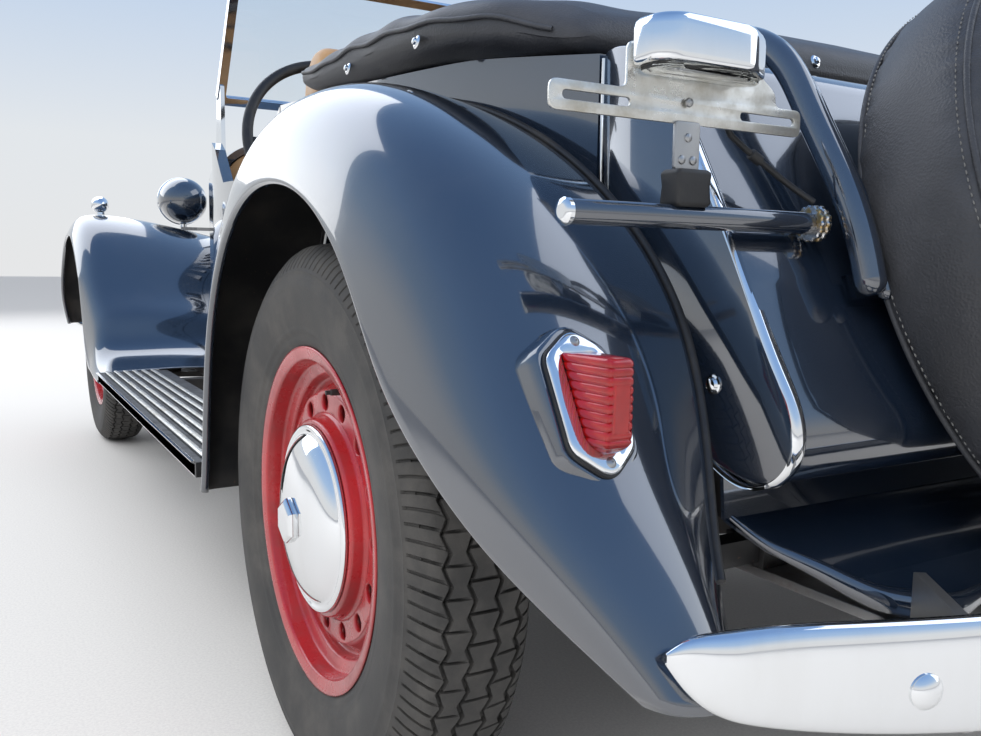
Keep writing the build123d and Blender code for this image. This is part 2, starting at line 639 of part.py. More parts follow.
# Centre hinge rod of the bonnet
HINGE_FRONT = (0, BONNET_FRONT_Y - 4.7, RADIATOR_ARCH.crown - 2)
HINGE_REAR = (0, SCUTTLE_FRONT_Y - SEAT_GAP, SCUTTLE_ARCH.crown - 2)
with BuildPart() as bonnet_hinge:
    with BuildLine() as hinge_line:
        Line(HINGE_FRONT, HINGE_REAR)
    with BuildSketch(Plane(origin=HINGE_FRONT, z_dir=hinge_line.line % 0)):
        Circle(HINGE_RADIUS)
    sweep(path=hinge_line.line)
save(bonnet_hinge.part, "bonnet_hinge")

# Scuttle: outer skin, firewall and side panels down to the sill
with BuildPart() as scuttle:
    for row in (SCUTTLE_ARCH, COWL_ARCH):
        outer = arch_points(row, 0.0, 0.0)
        inner = arch_points(row, SIDE_WALL / 2, 0.0)
        with BuildSketch(Plane(origin=(0, row.y, 0), x_dir=(1, 0, 0), z_dir=(0, -1, 0))):
            with BuildLine():
                ThreePointArc(outer[0], outer[1], outer[2])
                ThreePointArc(outer[2], outer[3], outer[4])
                Line(outer[4], outer[5])
                Line(outer[5], inner[5])
                Line(inner[5], inner[4])
                ThreePointArc(inner[4], inner[3], inner[2])
                ThreePointArc(inner[2], inner[1], inner[0])
                Line(inner[0], outer[0])
            make_face()
    loft(ruled=True)
    mirror(about=Plane.YZ)
    with BuildSketch(Plane(origin=(0, SCUTTLE_FRONT_Y + 1, 0), x_dir=(1, 0, 0), z_dir=(0, -1, 0))):
        with BuildLine():
            Polyline(
                (-450, SIDE_BOTTOM + 1), (-416, SIDE_BOTTOM + 1), (-416, FLOOR_TOP + SEAT_GAP),
                (-118, FLOOR_TOP + SEAT_GAP), (-118, 490), (118, 490),
                (118, FLOOR_TOP + SEAT_GAP), (416, FLOOR_TOP + SEAT_GAP), (416, SIDE_BOTTOM + 1),
                (450, SIDE_BOTTOM + 1), (450, 835), (345, 940),
                (0, 1000), (-345, 940), (-450, 835), close=True,
            )
        make_face()
    extrude(amount=-8)
    with Locations(Location(Plane(origin=column_point(SCUTTLE_FRONT_Y), z_dir=COLUMN_DIRECTION))):
        Cylinder(COLUMN_HOLE, 60, mode=Mode.SUBTRACT)
save(scuttle.part, "scuttle")

# Instrument panel below the scuttle's rear edge
DASH_Y = -150.0
DASH_BOTTOM = COWL_ARCH.crown - 272.0
with BuildPart() as dash:
    share = (DASH_Y - SCUTTLE_ARCH.y) / (COWL_ARCH.y - SCUTTLE_ARCH.y)
    row = ArchRow(*(a + share * (b - a) for a, b in zip(SCUTTLE_ARCH, COWL_ARCH)))
    outer = arch_points(row._replace(bottom=DASH_BOTTOM), SIDE_WALL / 2 + 2.0, 0.0)
    with BuildSketch(Plane(origin=(0, DASH_Y, 0), x_dir=(1, 0, 0), z_dir=(0, -1, 0))):
        with BuildLine():
            ThreePointArc(outer[0], outer[1], outer[2])
            ThreePointArc(outer[2], outer[3], outer[4])
            Line(outer[4], outer[5])
            Line(outer[5], (0, DASH_BOTTOM))
            Line((0, DASH_BOTTOM), outer[0])
        make_face()
        mirror(about=Plane.YZ)
    extrude(amount=-16)
    with Locations(Location(Plane(origin=column_point(DASH_Y), z_dir=COLUMN_DIRECTION))):
        Cylinder(COLUMN_HOLE, 60, mode=Mode.SUBTRACT)
save(dash.part, "instrument_panel")

# Door hinges outside the rear edge: barrels on one vertical line
DOOR_HINGE_X = 566.0
DOOR_HINGE_Y = 558.0
DOOR_HINGES_Z = (450.0, 770.0)
HINGE_BARREL = 6.0
HINGE_PITCH = 16.0

# Doors: a curved strip in plan, cut to the side view with its dipped top
DOOR_SIDE_VIEW = (
    (DOOR_FRONT_Y, 345), (DOOR_FRONT_Y, 915), (-40, 890), (90, 805), (330, 795), (470, 840),
    (DOOR_REAR_Y, 902), (DOOR_REAR_Y, 345),
)
for side, sign in SIDES:
    with BuildPart() as door:
        outer, inner = plan_strip(DOOR_FRONT_Y - 10, DOOR_REAR_Y + 10, SIDE_WALL)
        with BuildSketch(Plane.XY.offset(340)):
            with BuildLine():
                Spline(*outer)
                Line(outer[-1], inner[0])
                Spline(*inner)
                Line(inner[-1], outer[0])
            make_face()
        extrude(amount=600)
        with BuildSketch(Plane.YZ.offset(300)):
            with BuildLine():
                Polyline(*DOOR_SIDE_VIEW, close=True)
            make_face()
        extrude(amount=400, mode=Mode.INTERSECT)
        for hinge_z in DOOR_HINGES_Z:
            for part_z in (hinge_z - HINGE_PITCH, hinge_z + HINGE_PITCH):
                with Locations((DOOR_HINGE_X, DOOR_HINGE_Y, part_z)):
                    Cylinder(HINGE_BARREL, HINGE_PITCH - SHAFT_GAP)
                with Locations((DOOR_HINGE_X - 5, DOOR_HINGE_Y - 16, part_z)):
                    Box(10, 28, HINGE_PITCH - SHAFT_GAP)
        if side == "right":
            mirror(about=Plane.YZ, mode=Mode.REPLACE)
    save(door.part, f"door_{side}")

# Rear quarter panels with the inner arch wall below the seam
QUARTER_SIDE_VIEW = (
    (DOOR_REAR_Y + PANEL_GAP, SIDE_BOTTOM), (DOOR_REAR_Y + PANEL_GAP, 903), (1150, 880),
    (TANK_FRONT_Y - SEAT_GAP, 856), (TANK_FRONT_Y - SEAT_GAP, KICK_TOP + 20), (860, KICK_TOP + 20),
    (700, SIDE_BOTTOM),
)
with BuildPart() as quarters:
    outer, inner = plan_strip(DOOR_REAR_Y, TANK_FRONT_Y + 5, SIDE_WALL)
    with BuildSketch(Plane.XY.offset(330)):
        with BuildLine():
            Spline(*outer)
            Line(outer[-1], inner[0])
            Spline(*inner)
            Line(inner[-1], outer[0])
        make_face()
    extrude(amount=600)
    with BuildSketch(Plane.YZ.offset(300)):
        with BuildLine():
            Polyline(*QUARTER_SIDE_VIEW, close=True)
        make_face()
    extrude(amount=400, mode=Mode.INTERSECT)
    for hinge_z in DOOR_HINGES_Z:
        with Locations((DOOR_HINGE_X, DOOR_HINGE_Y, hinge_z)):
            Cylinder(HINGE_BARREL, HINGE_PITCH - SHAFT_GAP)
        with Locations((DOOR_HINGE_X - 6, DOOR_HINGE_Y + 16, hinge_z)):
            Box(12, 28, HINGE_PITCH - SHAFT_GAP)
    mirror(about=Plane.YZ)
save(quarters.part, "quarter_panels")

# Rear deck and back wall ahead of the tank
with BuildPart() as deck:
    with BuildSketch(Plane.YZ.offset(-560)):
        with BuildLine():
            Polyline(
                (DECK_FRONT_Y, 820), (DECK_FRONT_Y, 834), (TANK_FRONT_Y - 2, 838),
                (TANK_FRONT_Y - 2, KICK_TOP + 20), (TANK_FRONT_Y - 16, KICK_TOP + 20),
                (TANK_FRONT_Y - 16, 824), close=True,
            )
        make_face()
    extrude(amount=1120)
    with BuildSketch(Plane.XY.offset(KICK_TOP)):
        with BuildLine():
            Polyline(*plan_polygon(DECK_FRONT_Y - 5, TANK_FRONT_Y, SIDE_WALL + SEAT_GAP), close=True)
        make_face()
    extrude(amount=500, mode=Mode.INTERSECT)
save(deck.part, "rear_deck")

# Fuel tank: a sloped slab with beaded end panels
TANK_HALF = 455.0
TankPoint = namedtuple("TankPoint", "behind_front z")
TANK_POINTS = (
    TankPoint(0, 852), TankPoint(17, 862), TankPoint(73, 850), TankPoint(140, 753),
    TankPoint(210, 644), TankPoint(280, 506), TankPoint(275, 470), TankPoint(255, 451),
    TankPoint(175, 465), TankPoint(27, 500),
)
TANK_SIDE_VIEW = [(TANK_FRONT_Y + point.behind_front, point.z) for point in TANK_POINTS]
with BuildPart() as tank:
    with BuildSketch(Plane.YZ.offset(-TANK_HALF)):
        with BuildLine():
            Polyline(*TANK_SIDE_VIEW, close=True)
        make_face()
    extrude(amount=2 * TANK_HALF)
save(tank.part, "fuel_tank")

# Apron below the tank: a sloped panel whose lower edge dips over the frame ends
APRON_EDGE = ((0, 346), (172, 344), (311, 338), (372, 352), (435, 388), (454, 412))
with BuildPart() as apron:
    with BuildSketch(Plane.YZ.offset(-454)):
        with BuildLine():
            Polyline(
                (1545, 460.2), (1550, 412), (1640, 360), (1682, 336), (1682, 331), (1640, 355),
                (1546, 408), (1541, 460.2), close=True,
            )
        make_face()
    extrude(amount=908)
    with BuildSketch(Plane(origin=(0, 1500, 0), x_dir=(1, 0, 0), z_dir=(0, -1, 0))):
        with BuildLine():
            Polyline(
                *APRON_EDGE, (454, 470), (-454, 470), *((-x, z) for x, z in reversed(APRON_EDGE[1:])),
                close=True,
            )
        make_face()
    extrude(amount=-250, mode=Mode.INTERSECT)
save(apron.part, "rear_apron")

# Spare wheel carrier: two bent arms and the middle plate
SPARE_TILT = 22.0
SPARE_Y = 1645.0
SPARE_Z = 656.0
SPARE_RADIUS = 330.0
SPARE_HALF = 70.0
SPARE_ROUND = 32.0
CARRIER_X = 345.0
CARRIER_TUBE = 30.0
spare_plane = Plane(
    origin=(0, SPARE_Y, SPARE_Z), x_dir=(1, 0, 0),
    z_dir=(0, cos(radians(SPARE_TILT)), sin(radians(SPARE_TILT))),
)
with BuildPart() as carrier:
    for side, sign in SIDES:
        with BuildSketch(Plane.YZ.offset(sign * CARRIER_X - CARRIER_TUBE / 2)):
            with BuildLine():
                Polyline(
                    (1344, 862.4), (1344, 884), (1420, 880), (1479, 860), (1500, 842),
                    (1576, 739), (1640, 630), (1652, 604), (1600, 590), (1585, 600), (1572, 640),
                    (1556, 687), (1528, 748), (1481, 815), (1462, 834),
                    (1424, 852), (1366, 862.4), close=True,
                )
            make_face()
        extrude(amount=CARRIER_TUBE)
    with Locations(Location(spare_plane.offset(-SPARE_HALF - SEAT_GAP - 3))):
        Box(2 * CARRIER_X, 70, 6)
save(carrier.part, "spare_carrier")

# Spare wheel in its round cover
with BuildPart() as spare:
    with BuildSketch(spare_plane.offset(-SPARE_HALF)):
        Circle(SPARE_RADIUS)
    extrude(amount=2 * SPARE_HALF)
    fillet(spare.edges(), SPARE_ROUND)
save(spare.part, "spare_cover")

# Bumpers: curved blades with rounded ends on irons
BLADE_THICK = 6.0
BladePoint = namedtuple("BladePoint", "x top bottom")
REAR_BLADE = (
    BladePoint(0, 406, 318), BladePoint(450, 405, 322), BladePoint(545, 409, 333),
    BladePoint(606, 410, 344), BladePoint(640, 408, 358), BladePoint(660, 403, 376),
)
FRONT_BLADE = (
    BladePoint(0, 440, 352), BladePoint(560, 438, 356), BladePoint(640, 434, 364),
    BladePoint(680, 424, 376), BladePoint(694, 412, 390),
)


def blade(end_x, end_y, centre_y, rows):
    """Blade: an arc in plan, cut to its outline as seen along the car."""
    inward = -BLADE_THICK if centre_y > 0 else BLADE_THICK
    low = min(row.bottom for row in rows)
    high = max(row.top for row in rows)
    tip_z = (rows[-1].top + rows[-1].bottom) / 2 + 8
    with BuildSketch(Plane.XY.offset(low - 5)) as plan:
        with BuildLine():
            ThreePointArc((-end_x, end_y), (0, centre_y), (end_x, end_y))
            Line((end_x, end_y), (end_x, end_y + inward))
            ThreePointArc((end_x, end_y + inward), (0, centre_y + inward), (-end_x, end_y + inward))
            Line((-end_x, end_y + inward), (-end_x, end_y))
        make_face()
    extrude(plan.sketch, amount=high - low + 10)
    right = [(row.x, row.top) for row in rows[1:]] + [(end_x - 2, tip_z)]
    right += [(row.x, row.bottom) for row in reversed(rows[1:])]
    left = [(-x, z) for x, z in right]
    with BuildSketch(Plane(origin=(0, centre_y, 0), x_dir=(1, 0, 0), z_dir=(0, -1, 0))) as outline:
        with BuildLine():
            Polyline(
                (0, rows[0].top), *right, (0, rows[0].bottom), *reversed(left), close=True,
            )
        make_face()
    extrude(outline.sketch, amount=300, both=True, mode=Mode.INTERSECT)


IRON_Z = 321.5
IRON_TOP = 392.0
with BuildPart() as rear_bumper:
    blade(668, BUMPER_REAR_Y - 119.5, BUMPER_REAR_Y, REAR_BLADE)
    for side, sign in SIDES:
        with BuildSketch(Plane.XY.offset(IRON_Z)):
            with BuildLine():
                Polyline(
                    (sign * 285, 1442), (sign * 345, 1442), (sign * 345, 1640),
                    (sign * 460, BUMPER_REAR_Y - 56.5), (sign * 400, BUMPER_REAR_Y - 44),
                    (sign * 285, 1660), close=True,
                )
            make_face()
        extrude(amount=10)
        with BuildSketch(Plane.XY.offset(IRON_Z)):
            with BuildLine():
                Polyline(
                    (sign * 366, 1690), (sign * 374, 1684), (sign * 450, BUMPER_REAR_Y - 56.5),
                    (sign * 440, BUMPER_REAR_Y - 54), close=True,
                )
            make_face()
        extrude(amount=IRON_TOP - IRON_Z)
        with Locations((sign * 315, 1470, (IRON_Z + 359.7) / 2)):
            Box(58, 54, 359.7 - IRON_Z)
save(rear_bumper.part, "bumper_rear")
with BuildPart() as front_bumper:
    blade(700, BUMPER_FRONT_Y + 91.5, BUMPER_FRONT_Y, FRONT_BLADE)
    for side, sign in SIDES:
        with Locations((sign * 315, BUMPER_FRONT_Y + 81, 400)):
            Box(30, 120.2, 12)
save(front_bumper.part, "bumper_front")

# Radiator shell with its opening, and the slats in it
SHELL_FRONT_Y = -1395.0
SHELL_BACK_Y = BONNET_FRONT_Y - PANEL_GAP
with BuildPart() as shell:
    row = ArchRow(SHELL_BACK_Y, 218, 990, 30, 70, 440)
    outer = arch_points(row, 0.0, 0.0)
    with BuildSketch(Plane(origin=(0, SHELL_BACK_Y, 0), x_dir=(1, 0, 0), z_dir=(0, -1, 0))):
        with BuildLine():
            ThreePointArc(outer[0], outer[1], outer[2])
            ThreePointArc(outer[2], outer[3], outer[4])
            Line(outer[4], outer[5])
            Line(outer[5], (0, row.bottom))
            Line((0, row.bottom), outer[0])
        make_face()
        mirror(about=Plane.YZ)
    extrude(amount=SHELL_BACK_Y - SHELL_FRONT_Y)
    with BuildSketch(Plane(origin=(0, SHELL_FRONT_Y, 0), x_dir=(1, 0, 0), z_dir=(0, -1, 0))):
        with Locations((0, 700)):
            RectangleRounded(360, 440, 16)
    extrude(amount=-70, mode=Mode.SUBTRACT)
    with Locations((0, -1345, 1004)):
        Cylinder(34, 44)
save(shell.part, "radiator_shell")

SLATS = 17
with BuildPart() as grille:
    with Locations((0, SHELL_FRONT_Y + 30, 700)):
        with GridLocations(20, 1, SLATS, 1):
            Box(5, 40, 439.4)
    with Locations((0, SHELL_FRONT_Y + 52, 700)):
        Box(350, 6, 420)
save(grille.part, "radiator_grille")

# Headlamps: shells, lenses and the bar that carries them
LAMP_X = 341.0
LAMP_Y = -1356.0
LAMP_Z = 849.0
LAMP_PROFILE = (
    (0, -84), (30, -79), (58, -62), (76, -34), (84, 0), (84, 44), (76, 48), (74, 34), (0, 34),
)
LENS_PROFILE = ((0, 34.3), (73.7, 34.3), (75.4, 49), (52, 59), (0, 65))
LAMP_BAR_Z = 742.0
with BuildPart() as lamps:
    with BuildSketch(Plane(origin=(LAMP_X, LAMP_Y, LAMP_Z), x_dir=(1, 0, 0), z_dir=(0, 0, 1))):
        with BuildLine():
            Polyline(*((x, -y) for x, y in LAMP_PROFILE), close=True)
        make_face()
    revolve(axis=Axis((LAMP_X, LAMP_Y, LAMP_Z), (0, 1, 0)))
    mirror(about=Plane.YZ)
save(lamps.part, "headlamps")
with BuildPart() as lenses:
    with BuildSketch(Plane(origin=(LAMP_X, LAMP_Y, LAMP_Z), x_dir=(1, 0, 0), z_dir=(0, 0, 1))):
        with BuildLine():
            Polyline(*((x, -y) for x, y in LENS_PROFILE), close=True)
        make_face()
    revolve(axis=Axis((LAMP_X, LAMP_Y, LAMP_Z), (0, 1, 0)))
    mirror(about=Plane.YZ)
save(lenses.part, "headlamp_lenses")
with BuildPart() as lamp_bar:
    with Locations(((218.3 + LAMP_X + 12) / 2, LAMP_Y - 20, LAMP_BAR_Z + 6)):
        Box(LAMP_X + 12 - 218.3, 30, 12)
    with Locations((LAMP_X, LAMP_Y - 20, (LAMP_BAR_Z + LAMP_Z - 84.3) / 2)):
        Cylinder(13, LAMP_Z - 84.3 - LAMP_BAR_Z)
    mirror(about=Plane.YZ)
save(lamp_bar.part, "lamp_brackets")

# Side lamps on the front fenders
with BuildPart() as side_lamps:
    with Locations((636, -1270, 818)):
        Sphere(30)
    with Locations((636, -1270, 791.4)):
        Cylinder(12, 14)
    mirror(about=Plane.YZ)
save(side_lamps.part, "side_lamps")

# Tail lamps: a plinth fitted to the fender, and the wedge-shaped lens on it
TAIL_LAMP_X = 640.0
LAMP_HALF = 30.0
TAIL_BASE_POINTS = ((459.5, 254), (515.5, 159), (476.8, 136), (420.8, 231))
TAIL_LENS_POINTS = ((461.8, 250.7), (530.5, 243.5), (533.5, 176), (521, 163.5), (513.7, 162.6))
TAIL_BASE_VIEW = [(REAR_AXLE_Y + y, AXLE_Z + z) for y, z in TAIL_BASE_POINTS]
TAIL_LENS_VIEW = [(REAR_AXLE_Y + y, AXLE_Z + z) for y, z in TAIL_LENS_POINTS]
with BuildPart() as fender_body:
    for station in REAR_STATIONS:
        outer, inner = fender_section(station)
        outer = [(x, height + SEAT_GAP + 0.1) for x, height in outer]
        deep_out = (outer[4][0], outer[4][1] - BURIED)
        deep_in = (outer[0][0], outer[0][1] - BURIED)
        with BuildSketch(fender_plane(station)):
            with BuildLine():
                ThreePointArc(outer[0], outer[1], outer[2])
                ThreePointArc(outer[2], outer[3], outer[4])
                Line(outer[4], deep_out)
                Line(deep_out, deep_in)
                Line(deep_in, outer[0])
            make_face()
    loft()
with BuildPart() as tail_bases:
    with BuildSketch(Plane.YZ.offset(TAIL_LAMP_X - LAMP_HALF)):
        with BuildLine():
            Polyline(*TAIL_BASE_VIEW, close=True)
        make_face()
    extrude(amount=2 * LAMP_HALF)
    add(fender_body.part, mode=Mode.SUBTRACT)
    mirror(about=Plane.YZ)
save(tail_bases.part, "tail_lamp_bases")
with BuildPart() as tail_lenses:
    with BuildSketch(Plane.YZ.offset(TAIL_LAMP_X - LAMP_HALF + 3)):
        with BuildLine():
            Polyline(*TAIL_LENS_VIEW, close=True)
        make_face()
    extrude(amount=2 * (LAMP_HALF - 3))
    mirror(about=Plane.YZ)
save(tail_lenses.part, "tail_lamp_lenses")

# Plate bracket: slotted tab with a raised middle, strap, block and bar
BRACKET_Y = 1552.0
BRACKET_X = 519.75
BRACKET_Z = 765.0
TAB_THICK = 3.0
SLOT_SPACING = 182.5
SLOT_LENGTH = 66.0
SLOT_WIDTH = 7.0
BAR_Y = 1556.0
BAR_Z = 678.0
BAR_X = CARRIER_X + CARRIER_TUBE / 2 + SEAT_GAP
BAR_END_X = 643.0
TAB_VIEW = (
    (655, 753), (655, 776), (583, 776), (583, 812), (457, 812), (420, 788), (420, 776), (388, 776),
    (388, 753),
)
with BuildPart() as bracket:
    with BuildSketch(Plane(origin=(0, BRACKET_Y, 0), x_dir=(1, 0, 0), z_dir=(0, -1, 0))):
        with BuildLine():
            Polyline(*TAB_VIEW, close=True)
        make_face()
    extrude(amount=TAB_THICK / 2, both=True)
    with BuildSketch(Plane(origin=(BRACKET_X, BRACKET_Y + 5, BRACKET_Z), x_dir=(1, 0, 0), z_dir=(0, -1, 0))):
        with GridLocations(SLOT_SPACING, 1, 2, 1):
            SlotOverall(SLOT_LENGTH, SLOT_WIDTH)
    extrude(amount=10, mode=Mode.SUBTRACT)
    with Locations(Pos((BAR_X + BAR_END_X) / 2, BAR_Y, BAR_Z) * Rot(0, 90, 0)):
        Cylinder(10, BAR_END_X - BAR_X)
    with Locations(Pos(BAR_X + 7, BAR_Y, BAR_Z) * Rot(0, 90, 0)):
        Cylinder(16, 14)
    with Locations((521, BAR_Y, 701)):
        Box(37, 24, 30)
    with Locations((521, BRACKET_Y + 1, 735)):
        Box(26, 5, 40)
save(bracket.part, "plate_bracket")
LAMP_FOOT_Y = BRACKET_Y + TAB_THICK / 2 + SEAT_GAP
with BuildPart() as plate_lamp:
    with BuildSketch(Plane.XY.offset(792)):
        with BuildLine():
            Polyline(
                (582, LAMP_FOOT_Y), (582, 1582), (568, 1594), (486, 1594), (450, 1570),
                (462, LAMP_FOOT_Y), close=True,
            )
        make_face()
    extrude(amount=36)
save(plate_lamp.part, "plate_lamp")

# Lead of the plate lamp, from the tab down to the clamp on the bar
LEAD_RADIUS = 3.0
LEAD_BEND = 12.0
LEAD_POINTS = (
    (466, 1547.2, 772), (466, 1540, 756), (444, 1538, 744), (412, 1541, 726), (384, 1546, 709),
    (368, 1556, 697.3),
)
with BuildPart() as lead:
    with BuildLine() as lead_line:
        FilletPolyline(*LEAD_POINTS, radius=LEAD_BEND)
    with BuildSketch(Plane(origin=LEAD_POINTS[0], z_dir=lead_line.line % 0)):
        Circle(LEAD_RADIUS)
    sweep(path=lead_line.line)
save(lead.part, "plate_lamp_lead")

# Windscreen: raked frame, glass and side stanchions
SCREEN_LEAN = 34.0
screen_plane = Plane(
    origin=(0, SCREEN_Y, 1022), x_dir=(1, 0, 0),
    z_dir=(0, -cos(radians(SCREEN_LEAN)), sin(radians(SCREEN_LEAN))),
)
SCREEN_HALF = 488.0
with BuildPart() as scuttle_body:
    for row in (SCUTTLE_ARCH, COWL_ARCH):
        edge = arch_points(row, -SEAT_GAP, 0.0)
        with BuildSketch(Plane(origin=(0, row.y, 0), x_dir=(1, 0, 0), z_dir=(0, -1, 0))):
            with BuildLine():
                ThreePointArc(edge[0], edge[1], edge[2])
                ThreePointArc(edge[2], edge[3], edge[4])
                Line(edge[4], edge[5])
                Line(edge[5], (0, row.bottom))
                Line((0, row.bottom), edge[0])
            make_face()
    loft(ruled=True)
    mirror(about=Plane.YZ)
with BuildPart() as screen_frame:
    with BuildSketch(screen_plane):
        with Locations((0, SCREEN_HEIGHT / 2)):
            RectangleRounded(2 * SCREEN_HALF, SCREEN_HEIGHT, 18)
            RectangleRounded(2 * SCREEN_HALF - 40, SCREEN_HEIGHT - 40, 8, mode=Mode.SUBTRACT)
    extrude(amount=9, both=True)
    for side, sign in SIDES:
        with BuildSketch(Plane.YZ.offset(sign * (SCREEN_HALF - 7) - 5)):
            with BuildLine():
                Polyline((-232, 840), (-160, 840), (-165, 1058), (-196, 1058), close=True)
            make_face()
        extrude(amount=10)
    add(scuttle_body.part, mode=Mode.SUBTRACT)
save(screen_frame.part, "windscreen_frame")
with BuildPart() as screen_glass:
    with BuildSketch(screen_plane):
        with Locations((0, SCREEN_HEIGHT / 2)):
            RectangleRounded(
                2 * SCREEN_HALF - 40 - 2 * SEAT_GAP, SCREEN_HEIGHT - 40 - 2 * SEAT_GAP, 8
            )
    extrude(amount=2.5, both=True)
save(screen_glass.part, "windscreen_glass")

# Seats
SEAT_BACK_HALF = 512.0
with BuildPart() as cushions:
    with Locations((305, 315, FLOOR_TOP + SEAT_GAP + 75)):
        Box(360, 380, 150)
    mirror(about=Plane.YZ)
    fillet(cushions.edges().filter_by(Axis.Z), 40)
save(cushions.part, "seat_cushions")
with BuildPart() as seat_back:
    with BuildSketch(Plane.YZ.offset(-SEAT_BACK_HALF)):
        with BuildLine():
            Polyline(
                (522, 485.3), (600, 485.3), (630, 860), (646, 950), (636, 988), (602, 998),
                (572, 980), (545, 860), close=True,
            )
        make_face()
    extrude(amount=2 * SEAT_BACK_HALF)
save(seat_back.part, "seat_back")

# Folded hood under its cover: flat on top, with rolled sides over the body's edge
COVER_ROWS = (
    ArchRow(664, 556, 962, 10, 26, 912),
    ArchRow(787, 562, 966, 12, 44, 895),
    ArchRow(980, 562, 966, 12, 46, 887.4),
    ArchRow(1150, 546, 955, 12, 46, 880.8),
    ArchRow(1250, 510, 940, 12, 44, 868.6),
    ArchRow(1325, 462, 908, 8, 24, 861),
)
with BuildPart() as hood_cover:
    for row in COVER_ROWS:
        edge = arch_points(row, 0.0, 0.0)
        with BuildSketch(Plane(origin=(0, row.y, 0), x_dir=(1, 0, 0), z_dir=(0, -1, 0))):
            with BuildLine():
                ThreePointArc(edge[0], edge[1], edge[2])
                ThreePointArc(edge[2], edge[3], edge[4])
                Line(edge[4], edge[5])
                Line(edge[5], (0, row.bottom))
                Line((0, row.bottom), edge[0])
            make_face()
    loft(ruled=True)
    mirror(about=Plane.YZ)
save(hood_cover.part, "hood_cover")

# Steering column and wheel
with BuildPart() as column:
    with BuildLine() as column_line:
        Line(COLUMN_FOOT, WHEEL_CENTRE)
    with BuildSketch(Plane(origin=COLUMN_FOOT, z_dir=column_line.line % 0)):
        Circle(COLUMN_RADIUS)
    sweep(path=column_line.line)
    split(bisect_by=Plane(origin=WHEEL_CENTRE, z_dir=column_line.line % 1).offset(-30), keep=Keep.BOTTOM)
save(column.part, "steering_column")
column_direction = Vector(*WHEEL_CENTRE) - Vector(*COLUMN_FOOT)
steer_plane = Plane(origin=WHEEL_CENTRE, z_dir=column_direction)
with BuildPart() as steering_wheel:
    with Locations(Location(steer_plane)):
        Torus(195, 12)
        Cylinder(36, 30)
        with Locations((0, 0, -22)):
            Cylinder(22, 15)
        with PolarLocations(115, 3, start_angle=90):
            Box(170, 14, 6)
save(steering_wheel.part, "steering_wheel")
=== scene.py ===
"""Finish and detail of a classic open two-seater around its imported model.

Metres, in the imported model's own frame: +X is the car's left, +Y its rear, +Z up.
"""
import json
from collections import namedtuple
from math import cos, pi, radians, sin

import bmesh
import bpy
import numpy as np
from bpy.props import FloatProperty, FloatVectorProperty, PointerProperty
from mathutils import Matrix


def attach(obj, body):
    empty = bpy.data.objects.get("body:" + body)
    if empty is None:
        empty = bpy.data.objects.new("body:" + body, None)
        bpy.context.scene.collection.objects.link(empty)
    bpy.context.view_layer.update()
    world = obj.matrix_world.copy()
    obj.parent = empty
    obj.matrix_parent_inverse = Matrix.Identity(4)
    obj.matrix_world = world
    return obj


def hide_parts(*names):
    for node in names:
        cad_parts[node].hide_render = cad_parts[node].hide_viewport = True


bl_info = {
    "name": "Classic roadster",
    "version": (1, 0, 0),
    "blender": (4, 5, 0),
    "location": "View3D > Sidebar > Roadster",
    "description": "Finishes and detail for the packed model of an open two-seater",
    "category": "Add Mesh",
}

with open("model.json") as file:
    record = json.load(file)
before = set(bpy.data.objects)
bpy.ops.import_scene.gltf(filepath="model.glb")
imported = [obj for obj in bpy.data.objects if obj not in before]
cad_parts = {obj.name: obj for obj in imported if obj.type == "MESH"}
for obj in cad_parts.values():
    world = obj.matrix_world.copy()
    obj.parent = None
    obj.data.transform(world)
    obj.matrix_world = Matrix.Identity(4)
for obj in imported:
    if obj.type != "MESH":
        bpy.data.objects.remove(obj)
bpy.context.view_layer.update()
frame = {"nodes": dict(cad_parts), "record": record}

SIDES = (("left", 1), ("right", -1))


# Sizes and colours that a user would change
class RoadsterSizes(bpy.types.PropertyGroup):
    """Sizes that the panel shows"""

    tread_depth: FloatProperty(
        name="Tread depth", description="Depth of the grooves in the tyres",
        default=0.007, min=0.0, unit="LENGTH",
    )
    bead_radius: FloatProperty(
        name="Seam piping", description="Radius of the piping between fenders and body",
        default=0.004, min=0.001, unit="LENGTH",
    )


def colour_property(name, description, default):
    """A linear colour that the panel shows."""
    return FloatVectorProperty(
        name=name, description=description, default=default, min=0.0, max=1.0, subtype="COLOR",
    )


class RoadsterColours(bpy.types.PropertyGroup):
    """Colours that the panel shows"""

    paint: colour_property("Body paint", "Gloss paint of the body and fenders", (0.008, 0.015, 0.030))
    wheel: colour_property("Wheel paint", "Paint of the pressed wheels and slats", (0.40, 0.018, 0.022))
    leather: colour_property("Leather", "Seats and inner trim", (0.50, 0.31, 0.16))
    vinyl: colour_property("Vinyl", "Hood cover and spare wheel cover", (0.035, 0.036, 0.040))
    lens: colour_property("Lens", "Tail lamp lens", (0.55, 0.012, 0.012))


# Shader arithmetic
class Wire:
    """A socket in a material; arithmetic on it adds the Math nodes it needs."""

    def __init__(self, finish, socket):
        self.finish = finish
        self.socket = socket

    def _math(self, operation, first, second):
        settings = {"operation": operation}
        return self.finish.node("ShaderNodeMath", settings, {0: first, 1: second})

    def __add__(self, other):
        return self._math("ADD", self, other)

    __radd__ = __add__

    def __sub__(self, other):
        return self._math("SUBTRACT", self, other)

    def __rsub__(self, other):
        return self._math("SUBTRACT", other, self)

    def __mul__(self, other):
        return self._math("MULTIPLY", self, other)

    __rmul__ = __mul__

    def rise(self, start, end):
        """0 below start, 1 above end, a smooth step between."""
        settings = {"interpolation_type": "SMOOTHSTEP"}
        return self.finish.node(
            "ShaderNodeMapRange", settings, {"Value": self, "From Min": start, "From Max": end},
        )


